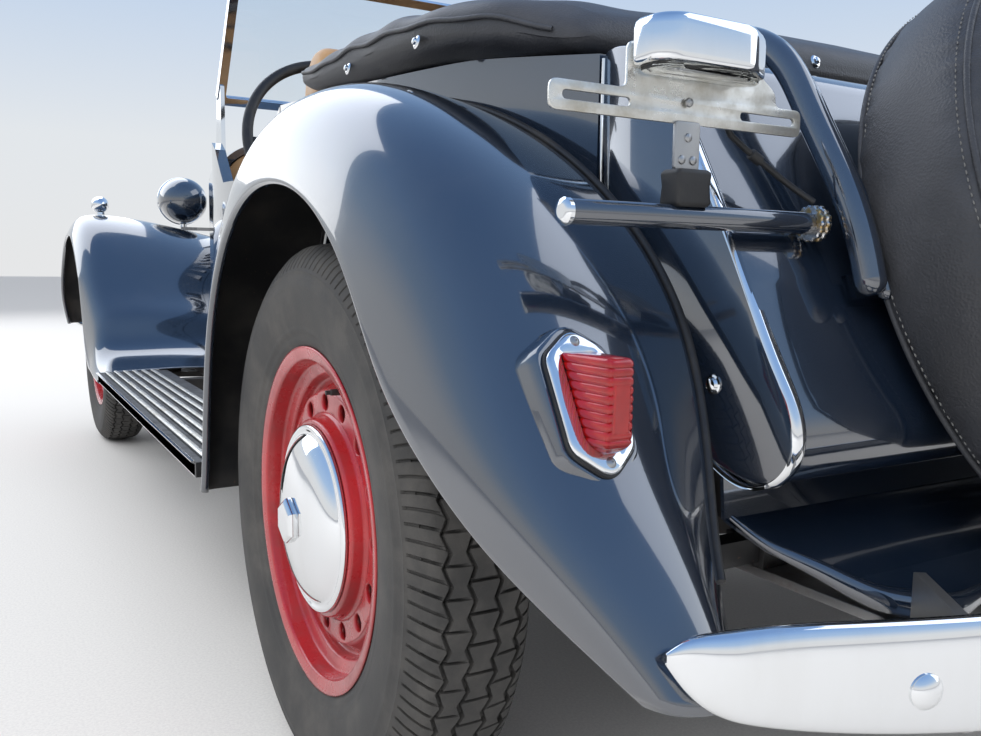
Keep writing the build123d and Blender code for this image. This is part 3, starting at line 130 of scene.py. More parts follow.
class Finish:
    """A material under construction, ending in one Principled shader."""

    def __init__(self, name, **fixed):
        self.material = bpy.data.materials.new(name)
        self.material.use_nodes = True
        self.tree = self.material.node_tree
        self.shader = self.tree.nodes["Principled BSDF"]
        for key, value in fixed.items():
            self.shader.inputs[key.replace("_", " ")].default_value = value

    def node(self, kind, settings=None, sockets=None, output=0):
        """A node of this kind: settings first, then values or links of its sockets."""
        made = self.tree.nodes.new(kind)
        for key, value in (settings or {}).items():
            setattr(made, key, value)
        for key, value in (sockets or {}).items():
            self.feed(made.inputs[key], value)
        return Wire(self, made.outputs[output])

    def feed(self, socket, value):
        """A link for a wire, or else a plain value on the socket."""
        if isinstance(value, Wire):
            self.tree.links.new(value.socket, socket)
        elif hasattr(value, "__len__") and len(value) == 3 and socket.type == "RGBA":
            socket.default_value = (*value, 1.0)
        else:
            socket.default_value = value

    def place(self):
        """Coordinates of the piece, in metres in the car's frame."""
        return self.node("ShaderNodeTexCoord", output="Object")

    def noise(self, scale, detail=2.0, roughness=0.5, stretch=(1, 1, 1)):
        """Soft noise from 0 to 1, with scale features in a metre."""
        spot = self.node("ShaderNodeMapping", None, {"Vector": self.place(), "Scale": stretch})
        return self.node(
            "ShaderNodeTexNoise", None,
            {"Vector": spot, "Scale": scale, "Detail": detail, "Roughness": roughness},
        )

    def cells(self, scale):
        """Distance to the nearest of scattered points, with scale cells in a metre."""
        return self.node(
            "ShaderNodeTexVoronoi", {"feature": "F1"}, {"Vector": self.place(), "Scale": scale},
            output="Distance",
        )

    def mix(self, share, first, second):
        """First colour where share is 0, second where it is 1."""
        settings = {"data_type": "RGBA"}
        return self.node("ShaderNodeMix", settings, {0: share, 6: first, 7: second}, output=2)

    def colour(self, value):
        """Sets the base colour."""
        self.feed(self.shader.inputs["Base Color"], value)

    def rough(self, value):
        """Sets the roughness."""
        self.feed(self.shader.inputs["Roughness"], value)

    def relief(self, height, depth, strength=1.0):
        """Bumps of a height from 0 to 1 that stand depth metres tall."""
        bump = self.node(
            "ShaderNodeBump", None, {"Height": height, "Distance": depth, "Strength": strength},
        )
        self.feed(self.shader.inputs["Normal"], bump)


def tint(colour, share):
    """A colour made lighter (share above 1) or darker."""
    return tuple(min(1.0, c * share) for c in colour)


def black_paint():
    """Clear-coated gloss paint: faint orange peel, fine dust and wiping marks."""
    paint = tuple(bpy.context.scene.roadster_colours.paint)
    finish = Finish(
        "black_paint", Coat_Weight=1.0, Coat_Roughness=0.03, Coat_IOR=2.0, Specular_IOR_Level=0.9,
    )
    dust = finish.noise(5.0, 6.0, 0.65).rise(0.45, 0.8)
    haze = finish.noise(60.0, 3.0, 0.6, stretch=(1, 0.2, 1)).rise(0.4, 0.9)
    finish.colour(finish.mix(dust * 0.10, paint, (0.10, 0.10, 0.11)))
    finish.rough(0.12 + dust * 0.10 + haze * 0.04)
    finish.relief(finish.noise(260.0, 1.0), 0.00003)
    return finish.material


def chassis_black():
    """Satin paint on the frame: road dust on upper faces and small chips."""
    finish = Finish("chassis_black")
    dust = finish.noise(9.0, 5.0, 0.6).rise(0.4, 0.75)
    chips = finish.noise(140.0, 2.0).rise(0.72, 0.76)
    worn = finish.mix(dust * 0.45, (0.018, 0.018, 0.019), (0.11, 0.095, 0.08))
    finish.colour(finish.mix(chips * 0.5, worn, (0.16, 0.09, 0.06)))
    finish.rough(0.42 + dust * 0.35)
    finish.relief(finish.noise(180.0, 4.0), 0.0002)
    return finish.material


def red_paint():
    """Gloss enamel of the wheels: brake dust gathers in patches."""
    paint = tuple(bpy.context.scene.roadster_colours.wheel)
    finish = Finish("red_paint", Coat_Weight=0.6, Coat_Roughness=0.08)
    dust = finish.noise(22.0, 5.0, 0.6).rise(0.42, 0.8)
    fade = finish.noise(6.0, 2.0).rise(0.3, 0.7)
    base = finish.mix(fade, tint(paint, 0.8), tint(paint, 1.15))
    finish.colour(finish.mix(dust * 0.35, base, (0.09, 0.05, 0.045)))
    finish.rough(0.26 + dust * 0.30)
    finish.relief(finish.noise(220.0, 2.0), 0.00006)
    return finish.material


def chrome():
    """Bright plating: thin smears, and tiny pits where it has aged."""
    finish = Finish("chrome", Metallic=1.0)
    smear = finish.noise(24.0, 4.0, 0.6, stretch=(1, 1, 0.3)).rise(0.4, 0.85)
    pits = finish.cells(420.0).rise(0.03, 0.07)
    finish.colour(finish.mix(smear * 0.25, (0.86, 0.87, 0.88), (0.66, 0.65, 0.62)))
    finish.rough(0.045 + smear * 0.10 + (1.0 - pits) * 0.15)
    finish.relief(pits, 0.00004, 0.5)
    return finish.material


def steel():
    """Plain bright steel with a drawn grain and a brown bloom."""
    finish = Finish("steel", Metallic=0.9)
    grain = finish.noise(300.0, 3.0, 0.6, stretch=(1, 0.05, 1))
    bloom = finish.noise(18.0, 5.0, 0.65).rise(0.5, 0.8)
    finish.colour(finish.mix(bloom * 0.55, (0.42, 0.42, 0.42), (0.20, 0.11, 0.06)))
    finish.rough(0.32 + grain * 0.12 + bloom * 0.25)
    finish.relief(grain, 0.00008)
    return finish.material


def tyre_rubber():
    """Grey-black rubber: dusty shoulders, fine mould texture."""
    finish = Finish("tyre", Specular_IOR_Level=0.35)
    dust = finish.noise(14.0, 6.0, 0.65).rise(0.35, 0.75)
    fine = finish.noise(380.0, 3.0, 0.6)
    finish.colour(finish.mix(dust * 0.6 + fine * 0.1, (0.040, 0.039, 0.038), (0.130, 0.122, 0.112)))
    finish.rough(0.62 + dust * 0.22)
    finish.relief(fine, 0.00025)
    return finish.material


def black_rubber():
    """Soft black rubber and bakelite."""
    finish = Finish("black_rubber")
    dust = finish.noise(30.0, 5.0, 0.6).rise(0.4, 0.8)
    finish.colour(finish.mix(dust * 0.5, (0.014, 0.014, 0.015), (0.06, 0.057, 0.052)))
    finish.rough(0.45 + dust * 0.25)
    finish.relief(finish.noise(300.0, 3.0), 0.00015)
    return finish.material


def clear_glass():
    """Window glass with a trace of dust."""
    finish = Finish("clear_glass", Transmission_Weight=1.0, IOR=1.45, Base_Color=(0.96, 0.98, 0.97, 1))
    dust = finish.noise(20.0, 5.0, 0.6).rise(0.5, 0.9)
    finish.rough(0.01 + dust * 0.08)
    return finish.material


def red_lens():
    """Deep red moulded lens."""
    lens = tuple(bpy.context.scene.roadster_colours.lens)
    finish = Finish("red_lens", Transmission_Weight=0.35, IOR=1.49, Coat_Weight=0.5)
    cloud = finish.noise(50.0, 3.0).rise(0.3, 0.8)
    finish.colour(finish.mix(cloud * 0.6, lens, tint(lens, 0.45)))
    finish.rough(0.10 + cloud * 0.08)
    finish.relief(finish.noise(240.0, 2.0), 0.00005)
    return finish.material


def tan_leather():
    """Tan hide: pebbled grain, creases and lighter rubbed places."""
    hide = tuple(bpy.context.scene.roadster_colours.leather)
    finish = Finish("tan_leather", Specular_IOR_Level=0.4)
    rubbed = finish.noise(12.0, 4.0, 0.6).rise(0.4, 0.75)
    pebble = finish.cells(520.0)
    crease = finish.noise(45.0, 5.0, 0.7).rise(0.46, 0.54)
    finish.colour(finish.mix(rubbed * 0.7, tint(hide, 0.78), tint(hide, 1.25)))
    finish.rough(0.42 + rubbed * 0.16)
    finish.relief(pebble * 0.6 + crease * 0.25, 0.0004)
    return finish.material


def vinyl():
    """Dark leathercloth: fine pebble grain with a dusty bloom."""
    cloth = tuple(bpy.context.scene.roadster_colours.vinyl)
    finish = Finish("vinyl", Specular_IOR_Level=0.45)
    bloom = finish.noise(7.0, 5.0, 0.6).rise(0.35, 0.75)
    pebble = finish.cells(420.0)
    finish.colour(finish.mix(bloom * 0.6, cloth, tint(cloth, 2.3)))
    finish.rough(0.40 + bloom * 0.18)
    finish.relief(pebble, 0.00035)
    return finish.material


def cast_iron():
    """Painted castings: oil stains over a coarse grain."""
    finish = Finish("cast_iron", Metallic=0.3)
    oil = finish.noise(12.0, 5.0, 0.6).rise(0.45, 0.7)
    finish.colour(finish.mix(oil, (0.13, 0.13, 0.12), (0.035, 0.030, 0.026)))
    finish.rough(0.6 - oil * 0.25)
    finish.relief(finish.noise(160.0, 4.0), 0.0005)
    return finish.material


def bare_plate():
    """Dull plated sheet: yellowed, with fine scratches and a cloudy bloom."""
    finish = Finish("bare_plate", Metallic=0.85)
    bloom = finish.noise(26.0, 5.0, 0.65).rise(0.35, 0.75)
    scratch = finish.noise(220.0, 2.0, 0.5, stretch=(0.1, 1, 1)).rise(0.5, 0.8)
    finish.colour(finish.mix(bloom, (0.74, 0.73, 0.69), (0.50, 0.46, 0.38)))
    finish.rough(0.26 + bloom * 0.22 + scratch * 0.10)
    finish.relief(scratch, 0.00005)
    return finish.material


def old_brass():
    """Plating worn through to brass on its edges."""
    finish = Finish("old_brass", Metallic=1.0)
    worn = finish.noise(110.0, 4.0, 0.6).rise(0.42, 0.62)
    finish.colour(finish.mix(worn, (0.70, 0.70, 0.70), (0.52, 0.36, 0.16)))
    finish.rough(0.20 + worn * 0.18)
    finish.relief(finish.noise(260.0, 3.0), 0.0001)
    return finish.material


def thread():
    """Waxed grey thread with a fine twist."""
    finish = Finish("thread")
    twist = finish.noise(900.0, 2.0)
    finish.colour(finish.mix(twist, (0.10, 0.10, 0.10), (0.22, 0.22, 0.21)))
    finish.rough(0.6)
    finish.relief(twist, 0.0002)
    return finish.material


MAKERS = {
    "black_paint": black_paint, "chassis_black": chassis_black, "red_paint": red_paint,
    "chrome": chrome, "steel": steel, "tyre": tyre_rubber, "black_rubber": black_rubber,
    "clear_glass": clear_glass, "red_lens": red_lens, "tan_leather": tan_leather,
    "vinyl": vinyl, "cast_iron": cast_iron, "bare_plate": bare_plate, "old_brass": old_brass,
    "thread": thread,
}
FINISHES = {}


def finish_of(slot):
    """The material of a slot, made once."""
    if slot not in FINISHES:
        FINISHES[slot] = MAKERS[slot]()
    return FINISHES[slot]


# Shapes: grids of points worked out with numpy, in millimetres in the car's frame
MM = 0.001
WELD = 0.000002
PLATE_SHARP = radians(30)


def unit(vectors):
    """Vectors of length one in the same directions."""
    vectors = np.asarray(vectors, float)
    return vectors / np.linalg.norm(vectors, axis=-1, keepdims=True)


def chord(points):
    """Distance walked from the first point to each of the others."""
    steps = np.linalg.norm(np.diff(points, axis=0), axis=-1)
    return np.concatenate([[0.0], np.cumsum(steps)])


def spline(knots, values, at):
    """Natural cubic spline: cubics between knots, with slope and bend alike where they meet.

    The bends solve one linear system, and are nil at both ends.
    """
    knots = np.asarray(knots, float)
    values = np.asarray(values, float).reshape(len(knots), -1)
    gaps = np.diff(knots)
    slopes = np.diff(values, axis=0) / gaps[:, None]
    inner = np.arange(1, len(knots) - 1)
    system = np.eye(len(knots))
    system[inner, inner - 1] = gaps[:-1]
    system[inner, inner] = 2 * (gaps[:-1] + gaps[1:])
    system[inner, inner + 1] = gaps[1:]
    wanted = np.zeros_like(values)
    wanted[1:-1] = 6 * np.diff(slopes, axis=0)
    bends = np.linalg.solve(system, wanted)
    cell = np.clip(np.searchsorted(knots, at, side="right") - 1, 0, len(gaps) - 1)
    step = (np.asarray(at) - knots[cell])[:, None]
    width = gaps[cell][:, None]
    start = slopes[cell] - width * (2 * bends[cell] + bends[cell + 1]) / 6
    cubic = (bends[cell + 1] - bends[cell]) / (6 * width)
    return values[cell] + step * (start + step * (bends[cell] / 2 + step * cubic))


def smooth_line(points, count):
    """An even run of points on the natural spline through the given ones."""
    points = np.asarray(points, float)
    walked = chord(points)
    return spline(walked, points, np.linspace(0.0, walked[-1], count))


def eased(corners, radius, steps=4, closed=False):
    """A line with rounded corners: each becomes a quadratic curve between its two legs."""
    corners = np.asarray(corners, float)
    before = corners - np.roll(corners, 1, axis=0)
    after = np.roll(corners, -1, axis=0) - corners
    cut_in = np.minimum(radius / np.linalg.norm(before, axis=1, keepdims=True), 0.5)
    cut_out = np.minimum(radius / np.linalg.norm(after, axis=1, keepdims=True), 0.5)
    start = (corners - before * cut_in)[:, None]
    end = (corners + after * cut_out)[:, None]
    share = np.linspace(0.0, 1.0, steps + 1)[None, :, None]
    curves = (1 - share) ** 2 * start + 2 * share * (1 - share) * corners[:, None] + share ** 2 * end
    if closed:
        return curves.reshape(-1, corners.shape[1])
    middle = curves[1:-1].reshape(-1, corners.shape[1])
    return np.vstack([corners[:1], middle, corners[-1:]])


def squarish(turn, power):
    """Cosine and sine of a turn, each with its size raised to a power: under 1 squares the round."""
    return tuple(np.sign(part) * np.abs(part) ** power for part in (np.cos(turn), np.sin(turn)))


def circle(radius, steps):
    """A round profile."""
    turn = np.linspace(0.0, 2 * pi, steps, endpoint=False)
    return radius * np.stack([np.cos(turn), np.sin(turn)], axis=1)


def turned(profile, centre, axis, steps, first=0.0):
    """A profile turned about an axis: centre + along * axis + radius * a turning unit vector."""
    axis = unit(axis)
    helper = (0.0, 0.0, 1.0) if abs(axis[2]) < 0.9 else (0.0, 1.0, 0.0)
    side = unit(np.cross(axis, helper))
    other = np.cross(axis, side)
    turn = first + np.linspace(0.0, 2 * pi, steps, endpoint=False)[:, None]
    ring = np.cos(turn) * side + np.sin(turn) * other
    profile = np.asarray(profile, float)
    return np.asarray(centre) + profile[:, :1, None] * axis + profile[:, 1:, None] * ring[None]


def carried(profile, path, up=(0.0, 0.0, 1.0)):
    """A profile carried along a path: its first axis stands aside of the path, its second above."""
    path = np.asarray(path, float)
    ahead = unit(np.gradient(path, axis=0))
    aside = unit(np.cross(ahead, up))
    above = np.cross(aside, ahead)
    profile = np.asarray(profile, float)
    across = profile[None, :, :1] * aside[:, None] + profile[None, :, 1:] * above[:, None]
    return path[:, None] + across


def at_x(x, line):
    """A line of (y, z) points in the plane at this x."""
    return np.column_stack([np.full(len(line), x), line])


def lattice(rows, columns, loop_rows, loop_columns):
    """Quads between neighbours of a grid; a loop joins the last line to the first."""
    row = np.arange(rows if loop_rows else rows - 1)
    column = np.arange(columns if loop_columns else columns - 1)
    row, column = np.meshgrid(row, column, indexing="ij")
    next_row, next_column = (row + 1) % rows, (column + 1) % columns
    corners = [
        row * columns + column, row * columns + next_column,
        next_row * columns + next_column, next_row * columns + column,
    ]
    return np.stack(corners, axis=-1).reshape(-1, 4)


class Shape:
    """A surface gathered from grids of points."""

    def __init__(self):
        self.points = []
        self.faces = []
        self.count = 0

    def add(self, grid, loop_rows=False, loop_columns=False, caps=False, facing=None):
        """A grid's quads. Caps close the end rows; an open sheet is turned towards facing."""
        rows, columns = grid.shape[:2]
        faces = lattice(rows, columns, loop_rows, loop_columns)
        flat = grid.reshape(-1, 3)
        if facing is not None:
            a, b, c, d = (flat[faces[:, corner]] for corner in range(4))
            if np.dot(np.cross(c - a, d - b).sum(axis=0), facing) < 0:
                faces = faces[:, ::-1]
        self.faces += (faces + self.count).tolist()
        if caps:
            first = np.arange(columns) + self.count
            self.faces.append(first[::-1].tolist())
            self.faces.append((first + (rows - 1) * columns).tolist())
        self.points.append(flat)
        self.count += len(flat)
        return self

    def turn(self, profile, place, axis, steps, first=0.0, **rest):
        """A profile turned about an axis."""
        return self.add(turned(profile, place, axis, steps, first), loop_columns=True, **rest)

    def run(self, profile, path, up=(0.0, 0.0, 1.0)):
        """A profile carried along a path, closed at both ends."""
        return self.add(carried(profile, path, up), loop_columns=True, caps=True)

    def scatter(self, points, faces, centres, axes):
        """Copies of a small form: centre + its points turned by each set of axes, all at once."""
        placed = centres[:, None] + np.einsum("pk,nkj->npj", points, axes)
        first = np.arange(len(centres))[:, None, None] * len(points) + self.count
        self.faces += (np.asarray(faces)[None] + first).reshape(-1, len(faces[0])).tolist()
        self.points.append(placed.reshape(-1, 3))
        self.count += placed.shape[0] * placed.shape[1]
        return self

    def mirrored(self):
        """The same surface on the car's other side too, with its faces turned over."""
        faces = [[corner + self.count for corner in reversed(face)] for face in self.faces]
        self.points.append(np.vstack(self.points) * (-1, 1, 1))
        self.faces += faces
        self.count *= 2
        return self

    def piece(self, name, slot, body="car", stands_for=(), closed=True, sharp=38, wall=0.0,
              lining=None, look=None):
        """The finished object, riding on its body and standing for the CAD nodes named."""
        mesh = bpy.data.meshes.new(name)
        mesh.from_pydata((np.vstack(self.points) * MM).tolist(), [], self.faces)
        work = bmesh.new()
        work.from_mesh(mesh)
        bmesh.ops.remove_doubles(work, verts=work.verts, dist=WELD)
        if closed:
            bmesh.ops.recalc_face_normals(work, faces=work.faces)
        work.to_mesh(mesh)
        work.free()
        mesh.shade_smooth()
        mesh.set_sharp_from_angle(angle=radians(sharp))
        return finished(name, mesh, slot, body, stands_for, wall, lining, look)


def finished(name, mesh, slot, body="car", stands_for=(), wall=0.0, lining=None, look=None):
    """An object for a mesh: the finish of its look, or else of its slot; its wall, its body, and the
    nodes it stands for, which it hides.
    """
    mesh.materials.append(finish_of(look or slot))
    made = bpy.data.objects.new(name, mesh)
    bpy.context.scene.collection.objects.link(made)
    if wall:
        solid = made.modifiers.new("wall", "SOLIDIFY")
        solid.thickness = wall * MM
        solid.offset = -1.0
        if lining:
            mesh.materials.append(finish_of(lining))
            solid.material_offset = 1
    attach(made, body)
    if stands_for:
        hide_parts(*stands_for)
    return made


def cut_plate(name, slot, outlines, thickness, edge, origin, across, up, **rest):
    """A flat plate with holes and rounded edges: outlines in its own plane, then put in place."""
    curve = bpy.data.curves.new(name, "CURVE")
    curve.dimensions = "2D"
    curve.fill_mode = "BOTH"
    curve.extrude = (thickness / 2 - edge) * MM
    curve.bevel_depth = edge * MM
    curve.bevel_resolution = 2
    curve.offset = -edge * MM
    for outline in outlines:
        line = curve.splines.new("POLY")
        line.points.add(len(outline) - 1)
        spots = np.zeros((len(outline), 4))
        spots[:, :2] = np.asarray(outline) * MM
        spots[:, 3] = 1.0
        line.points.foreach_set("co", spots.ravel())
        line.use_cyclic_u = True
    flat = bpy.data.objects.new(name + "_flat", curve)
    bpy.context.scene.collection.objects.link(flat)
    mesh = bpy.data.meshes.new_from_object(flat.evaluated_get(bpy.context.evaluated_depsgraph_get()))
    bpy.data.objects.remove(flat)
    bpy.data.curves.remove(curve)
    across, up = unit(across), unit(up)
    frame_axes = np.column_stack([across, up, np.cross(across, up)])
    spots = np.empty(len(mesh.vertices) * 3)
    mesh.vertices.foreach_get("co", spots)
    spots = spots.reshape(-1, 3) @ frame_axes.T + np.asarray(origin) * MM
    mesh.vertices.foreach_set("co", spots.ravel())
    work = bmesh.new()
    work.from_mesh(mesh)
    bmesh.ops.remove_doubles(work, verts=work.verts, dist=WELD)
    bmesh.ops.recalc_face_normals(work, faces=work.faces)
    work.to_mesh(mesh)
    work.free()
    mesh.materials.clear()
    mesh.shade_smooth()
    mesh.set_sharp_from_angle(angle=PLATE_SHARP)
    return finished(name, mesh, slot, **rest)


def ring_rope(ring, axis, radius):
    """A rope round a closed ring of points that goes about an axis."""
    ahead = unit(np.roll(ring, -1, axis=0) - np.roll(ring, 1, axis=0))
    aside = unit(np.cross(ahead, axis))
    round_line = circle(radius, 10)
    rope = ring[:, None] + round_line[None, :, :1] * aside[:, None]
    return rope + round_line[None, :, 1:] * np.cross(aside, ahead)[:, None]


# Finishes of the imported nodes
class ROADSTER_OT_finishes(bpy.types.Operator):
    """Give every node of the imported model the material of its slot"""

    bl_idname = "roadster.finishes"
    bl_label = "Node finishes"

    def execute(self, context):
        for part in frame["record"]["subparts"]:
            node = frame["nodes"][part["node"]]
            material = finish_of(part["material_slot"])
            for slot in node.material_slots:
                slot.material = material
        return {"FINISHED"}


# Fenders
FenderRow = namedtuple("FenderRow", "y z angle x_in h_in x_top h_top h_lip x_lip")
REAR_ROWS = (
    FenderRow(1106.5, 330, 187, 556, 366, 645, 380, 366, 742),
    FenderRow(1106.5, 330, 165, 556, 398, 645, 412, 353, 742),
    FenderRow(1106.5, 330, 140, 554, 474, 642, 472, 377, 742),
    FenderRow(1106.5, 330, 115, 546, 535, 640, 506, 397, 742),
    FenderRow(1106.5, 330, 90, 522, 505, 640, 509, 398, 742),
    FenderRow(1106.5, 330, 68, 490, 478, 640, 508, 396, 742),
    FenderRow(1106.5, 330, 48, 475, 472, 636, 506, 388, 742),
    FenderRow(1106.5, 330, 32, 480, 480, 630, 504, 386, 738),
    FenderRow(1106.5, 330, 18, 510, 500, 625, 535, 436, 728),
    FenderRow(1106.5, 330, 9, 545, 535, 620, 580, 500, 704),
    FenderRow(1106.5, 330, 2, 580, 590, 618, 622, 590, 664),
)
FRONT_ROWS = (
    FenderRow(-1281.5, 330, 172, 500, 372, 610, 412, 392, 718),
    FenderRow(-1281.5, 330, 158, 410, 374, 618, 418, 388, 736),
    FenderRow(-1281.5, 330, 135, 310, 376, 628, 436, 386, 742),
    FenderRow(-1281.5, 330, 112, 236, 378, 635, 448, 386, 742),
    FenderRow(-1281.5, 330, 90, 222, 380, 640, 453, 386, 742),
    FenderRow(-1281.5, 330, 66, 262, 384, 640, 446, 386, 742),
    FenderRow(-1281.5, 330, 42, 304, 402, 640, 440, 386, 742),
    FenderRow(-1281.5, 330, 22, 336, 446, 640, 478, 388, 742),
    FenderRow(-862, 290, 66, 358, 176, 640, 186, 58, 742),
    FenderRow(-765, 290, 80, 370, 104, 640, 106, 22, 742),
    FenderRow(-660, 290, 88, 394, 55, 640, 55, 14, 742),
    FenderRow(-545, 290, 90, 428, 34, 640, 34, 12, 742),
)
FENDERS = (("rear", REAR_ROWS, 150), ("front", FRONT_ROWS, 190))
FENDER_ACROSS = 44
LIP_ROLL = 6.0
FENDER_WALL = 1.6


def fender_lines(rows):
    """Five points across each row: inner edge, shoulder, crown, shoulder and lip.

    A height h stands on the row's origin along its own direction: y + h cos, z + h sin.
    """
    y, z, angle, x_in, h_in, x_top, h_top, h_lip, x_lip = np.array(rows, float).T
    x = np.stack([x_in, (x_in + x_top) / 2, x_top, x_top + (x_lip - x_top) * 0.72, x_lip], axis=1)
    shoulder_in = h_in + (h_top - h_in) * 0.6 + 2.5
    shoulder_out = h_lip + (h_top - h_lip) * 0.72
    h = np.stack([h_in, shoulder_in, h_top, shoulder_out, h_lip], axis=1)
    tilt = np.radians(angle)[:, None]
    return np.stack([x, y[:, None] + h * np.cos(tilt), z[:, None] + h * np.sin(tilt)], axis=-1)


def fender_surface(rows, along, across):
    """A spline along the fender through each of the five lines, then one across through them."""
    lines = fender_lines(rows)
    walked = chord(lines[:, 2])
    spread = spline(walked, lines.reshape(len(rows), -1), np.linspace(0, walked[-1], along))
    spread = spread.reshape(along, 5, 3).transpose(1, 0, 2)
    gaps = np.linalg.norm(np.diff(spread, axis=0), axis=-1).mean(axis=1)
    knots = np.concatenate([[0.0], np.cumsum(gaps)])
    surface = spline(knots, spread.reshape(5, -1), np.linspace(0, knots[-1], across))
    return surface.reshape(across, along, 3).transpose(1, 0, 2)


def rolled_lip(surface, radius, steps=12, sweep=4.0):
    """The outer edge curled inward: edge + radius * (inward (1 - cos) + onward sin), up to sweep."""
    edge = surface[:, -1]
    onward = unit(edge - surface[:, -2])
    ahead = unit(np.gradient(edge, axis=0))
    inward = unit(np.cross(ahead, onward))
    inward *= np.sign(-inward[:, :1].mean())
    turn = np.linspace(0, sweep, steps + 1)[1:, None, None]
    curl = edge + radius * ((1 - np.cos(turn)) * inward + np.sin(turn) * onward)
    return np.concatenate([surface, curl.transpose(1, 0, 2)], axis=1)


class ROADSTER_OT_fenders(bpy.types.Operator):
    """Fenders with rolled lips, and the piping where they meet the body"""

    bl_idname = "roadster.fenders"
    bl_label = "Fenders"

    def execute(self, context):
        piping = context.scene.roadster_sizes.bead_radius / MM
        for name, rows, along in FENDERS:
            surface = fender_surface(rows, along, FENDER_ACROSS)
            shape = Shape().add(rolled_lip(surface, LIP_ROLL), facing=(0.3, 0.0, 1.0)).mirrored()
            shape.piece(
                f"{name}_fender_skins", "black_paint", stands_for=[f"{name}_fenders"],
                closed=False, wall=FENDER_WALL, lining="chassis_black",
            )
            seam = surface[3:-6, 0] + (0.0, 0.0, piping * 0.6)
            beads = Shape().run(circle(piping, 10), seam).mirrored()
            beads.piece(f"{name}_fender_piping", "black_rubber")
        return {"FINISHED"}


# Wheels: places of the four centres, and the body that each one rides on
WheelPlace = namedtuple("WheelPlace", "name x y")
WHEEL_PLACES = (
    WheelPlace("front_left", 602.0, -1281.5), WheelPlace("front_right", -602.0, -1281.5),
    WheelPlace("rear_left", 635.0, 1106.5), WheelPlace("rear_right", -635.0, 1106.5),
)
AXLE_Z = 330.0
TYRE_RADIUS = 330.0
SIDEWALL = (
    (50, 194.5), (54, 203), (61, 221), (67, 244), (70, 267), (68.5, 288), (64, 303), (58.5, 313),
)
SIDEWALL_RINGS = (214, 226, 279, 296)
RING_HEIGHT = 1.1
TREAD_PITCHES = 66
PITCH_STOPS = (0.0, 0.07, 0.09, 0.17, 0.19, 0.34, 0.5, 0.57, 0.59, 0.67, 0.69, 0.84)
SIPE_ROWS = (2, 3)
LINK_ROWS = (8, 9)
GROOVES = (-38.0, -14.0, 14.0, 38.0)
GROOVE_HALF = 2.6
ZIGZAG = 3.4


def tread_columns():
    """Across the tread: (x, groove, zigzag) where groove is 1 at a groove's floor."""
    columns = []
    for number, middle in enumerate(GROOVES):
        lean = 1 if number % 2 else -1
        columns += [
            (middle - GROOVE_HALF, 0, lean), (middle - GROOVE_HALF + 0.7, 1, lean),
            (middle + GROOVE_HALF - 0.7, 1, lean), (middle + GROOVE_HALF, 0, lean),
        ]
    ribs = [(x, 0, 0) for x in (-55.0, -50.0, -45.5, -26.0, 0.0, 26.0, 45.5, 50.0, 55.0)]
    return np.array(sorted(columns + ribs), float)


def tyre_grid(depth):
    """A tyre about the X axis: a splined sidewall and crown, cut by zigzag grooves and sipes.

    A point is (across, radius cos turn, radius sin turn); a groove lowers the radius by depth,
    and a zigzag moves a groove's columns across by a triangle wave of the turn.
    """
    pitch = 2 * pi / TREAD_PITCHES
    turn = (np.arange(TREAD_PITCHES)[:, None] + np.array(PITCH_STOPS)).ravel() * pitch
    stop = np.tile(PITCH_STOPS, TREAD_PITCHES)
    row = np.tile(np.arange(len(PITCH_STOPS)), TREAD_PITCHES)
    wave = 4 * np.abs(stop - 0.5) - 1
    wall = smooth_line(SIDEWALL, 40)
    rings = sum(np.exp(-(((wall[:, 1] - ring) / 1.6) ** 2)) for ring in SIDEWALL_RINGS)
    wall = wall + np.stack([rings * RING_HEIGHT, np.zeros(len(wall))], axis=1)
    tread = tread_columns()
    x = tread[:, 0][None] + wave[:, None] * tread[:, 2][None] * ZIGZAG
    radius = TYRE_RADIUS - 4 * (x / 44) ** 2 - 8 * np.clip((np.abs(x) - 44) / 12, 0, 1) ** 2
    outer = np.abs(tread[:, 0])[None]
    sipes = np.isin(row, SIPE_ROWS)[:, None] & (outer > 41)
    links = np.isin(row, LINK_ROWS)[:, None] & (outer < 12)
    middle = np.isin(row, SIPE_ROWS)[:, None] & (outer > 17) & (outer < 36)
    shoulder = np.isin(row, LINK_ROWS)[:, None] & (outer > 41)
    cut = np.maximum.reduce([
        np.broadcast_to(tread[:, 1][None], x.shape), sipes * 1.0, links * 0.7, middle * 0.7,
        shoulder * 0.55,
    ])
    radius = radius - cut * depth
    side_cut = np.isin(row, SIPE_ROWS + LINK_ROWS)[:, None] * (wall[:, 1] > 299)[None] * 2.2
    left_x = np.broadcast_to(wall[:, 0], (len(turn), len(wall))) - side_cut
    left_r = np.broadcast_to(wall[:, 1], left_x.shape) - side_cut * 0.8
    across = np.concatenate([left_x, x[:, ::-1], -left_x[:, ::-1]], axis=1)
    reach = np.concatenate([left_r, radius[:, ::-1], left_r[:, ::-1]], axis=1)
    around = turn[:, None] + 0.0012 * np.clip(np.abs(across) - 36, 0, 30)
    return np.stack([across, reach * np.cos(around), reach * np.sin(around)], axis=-1)


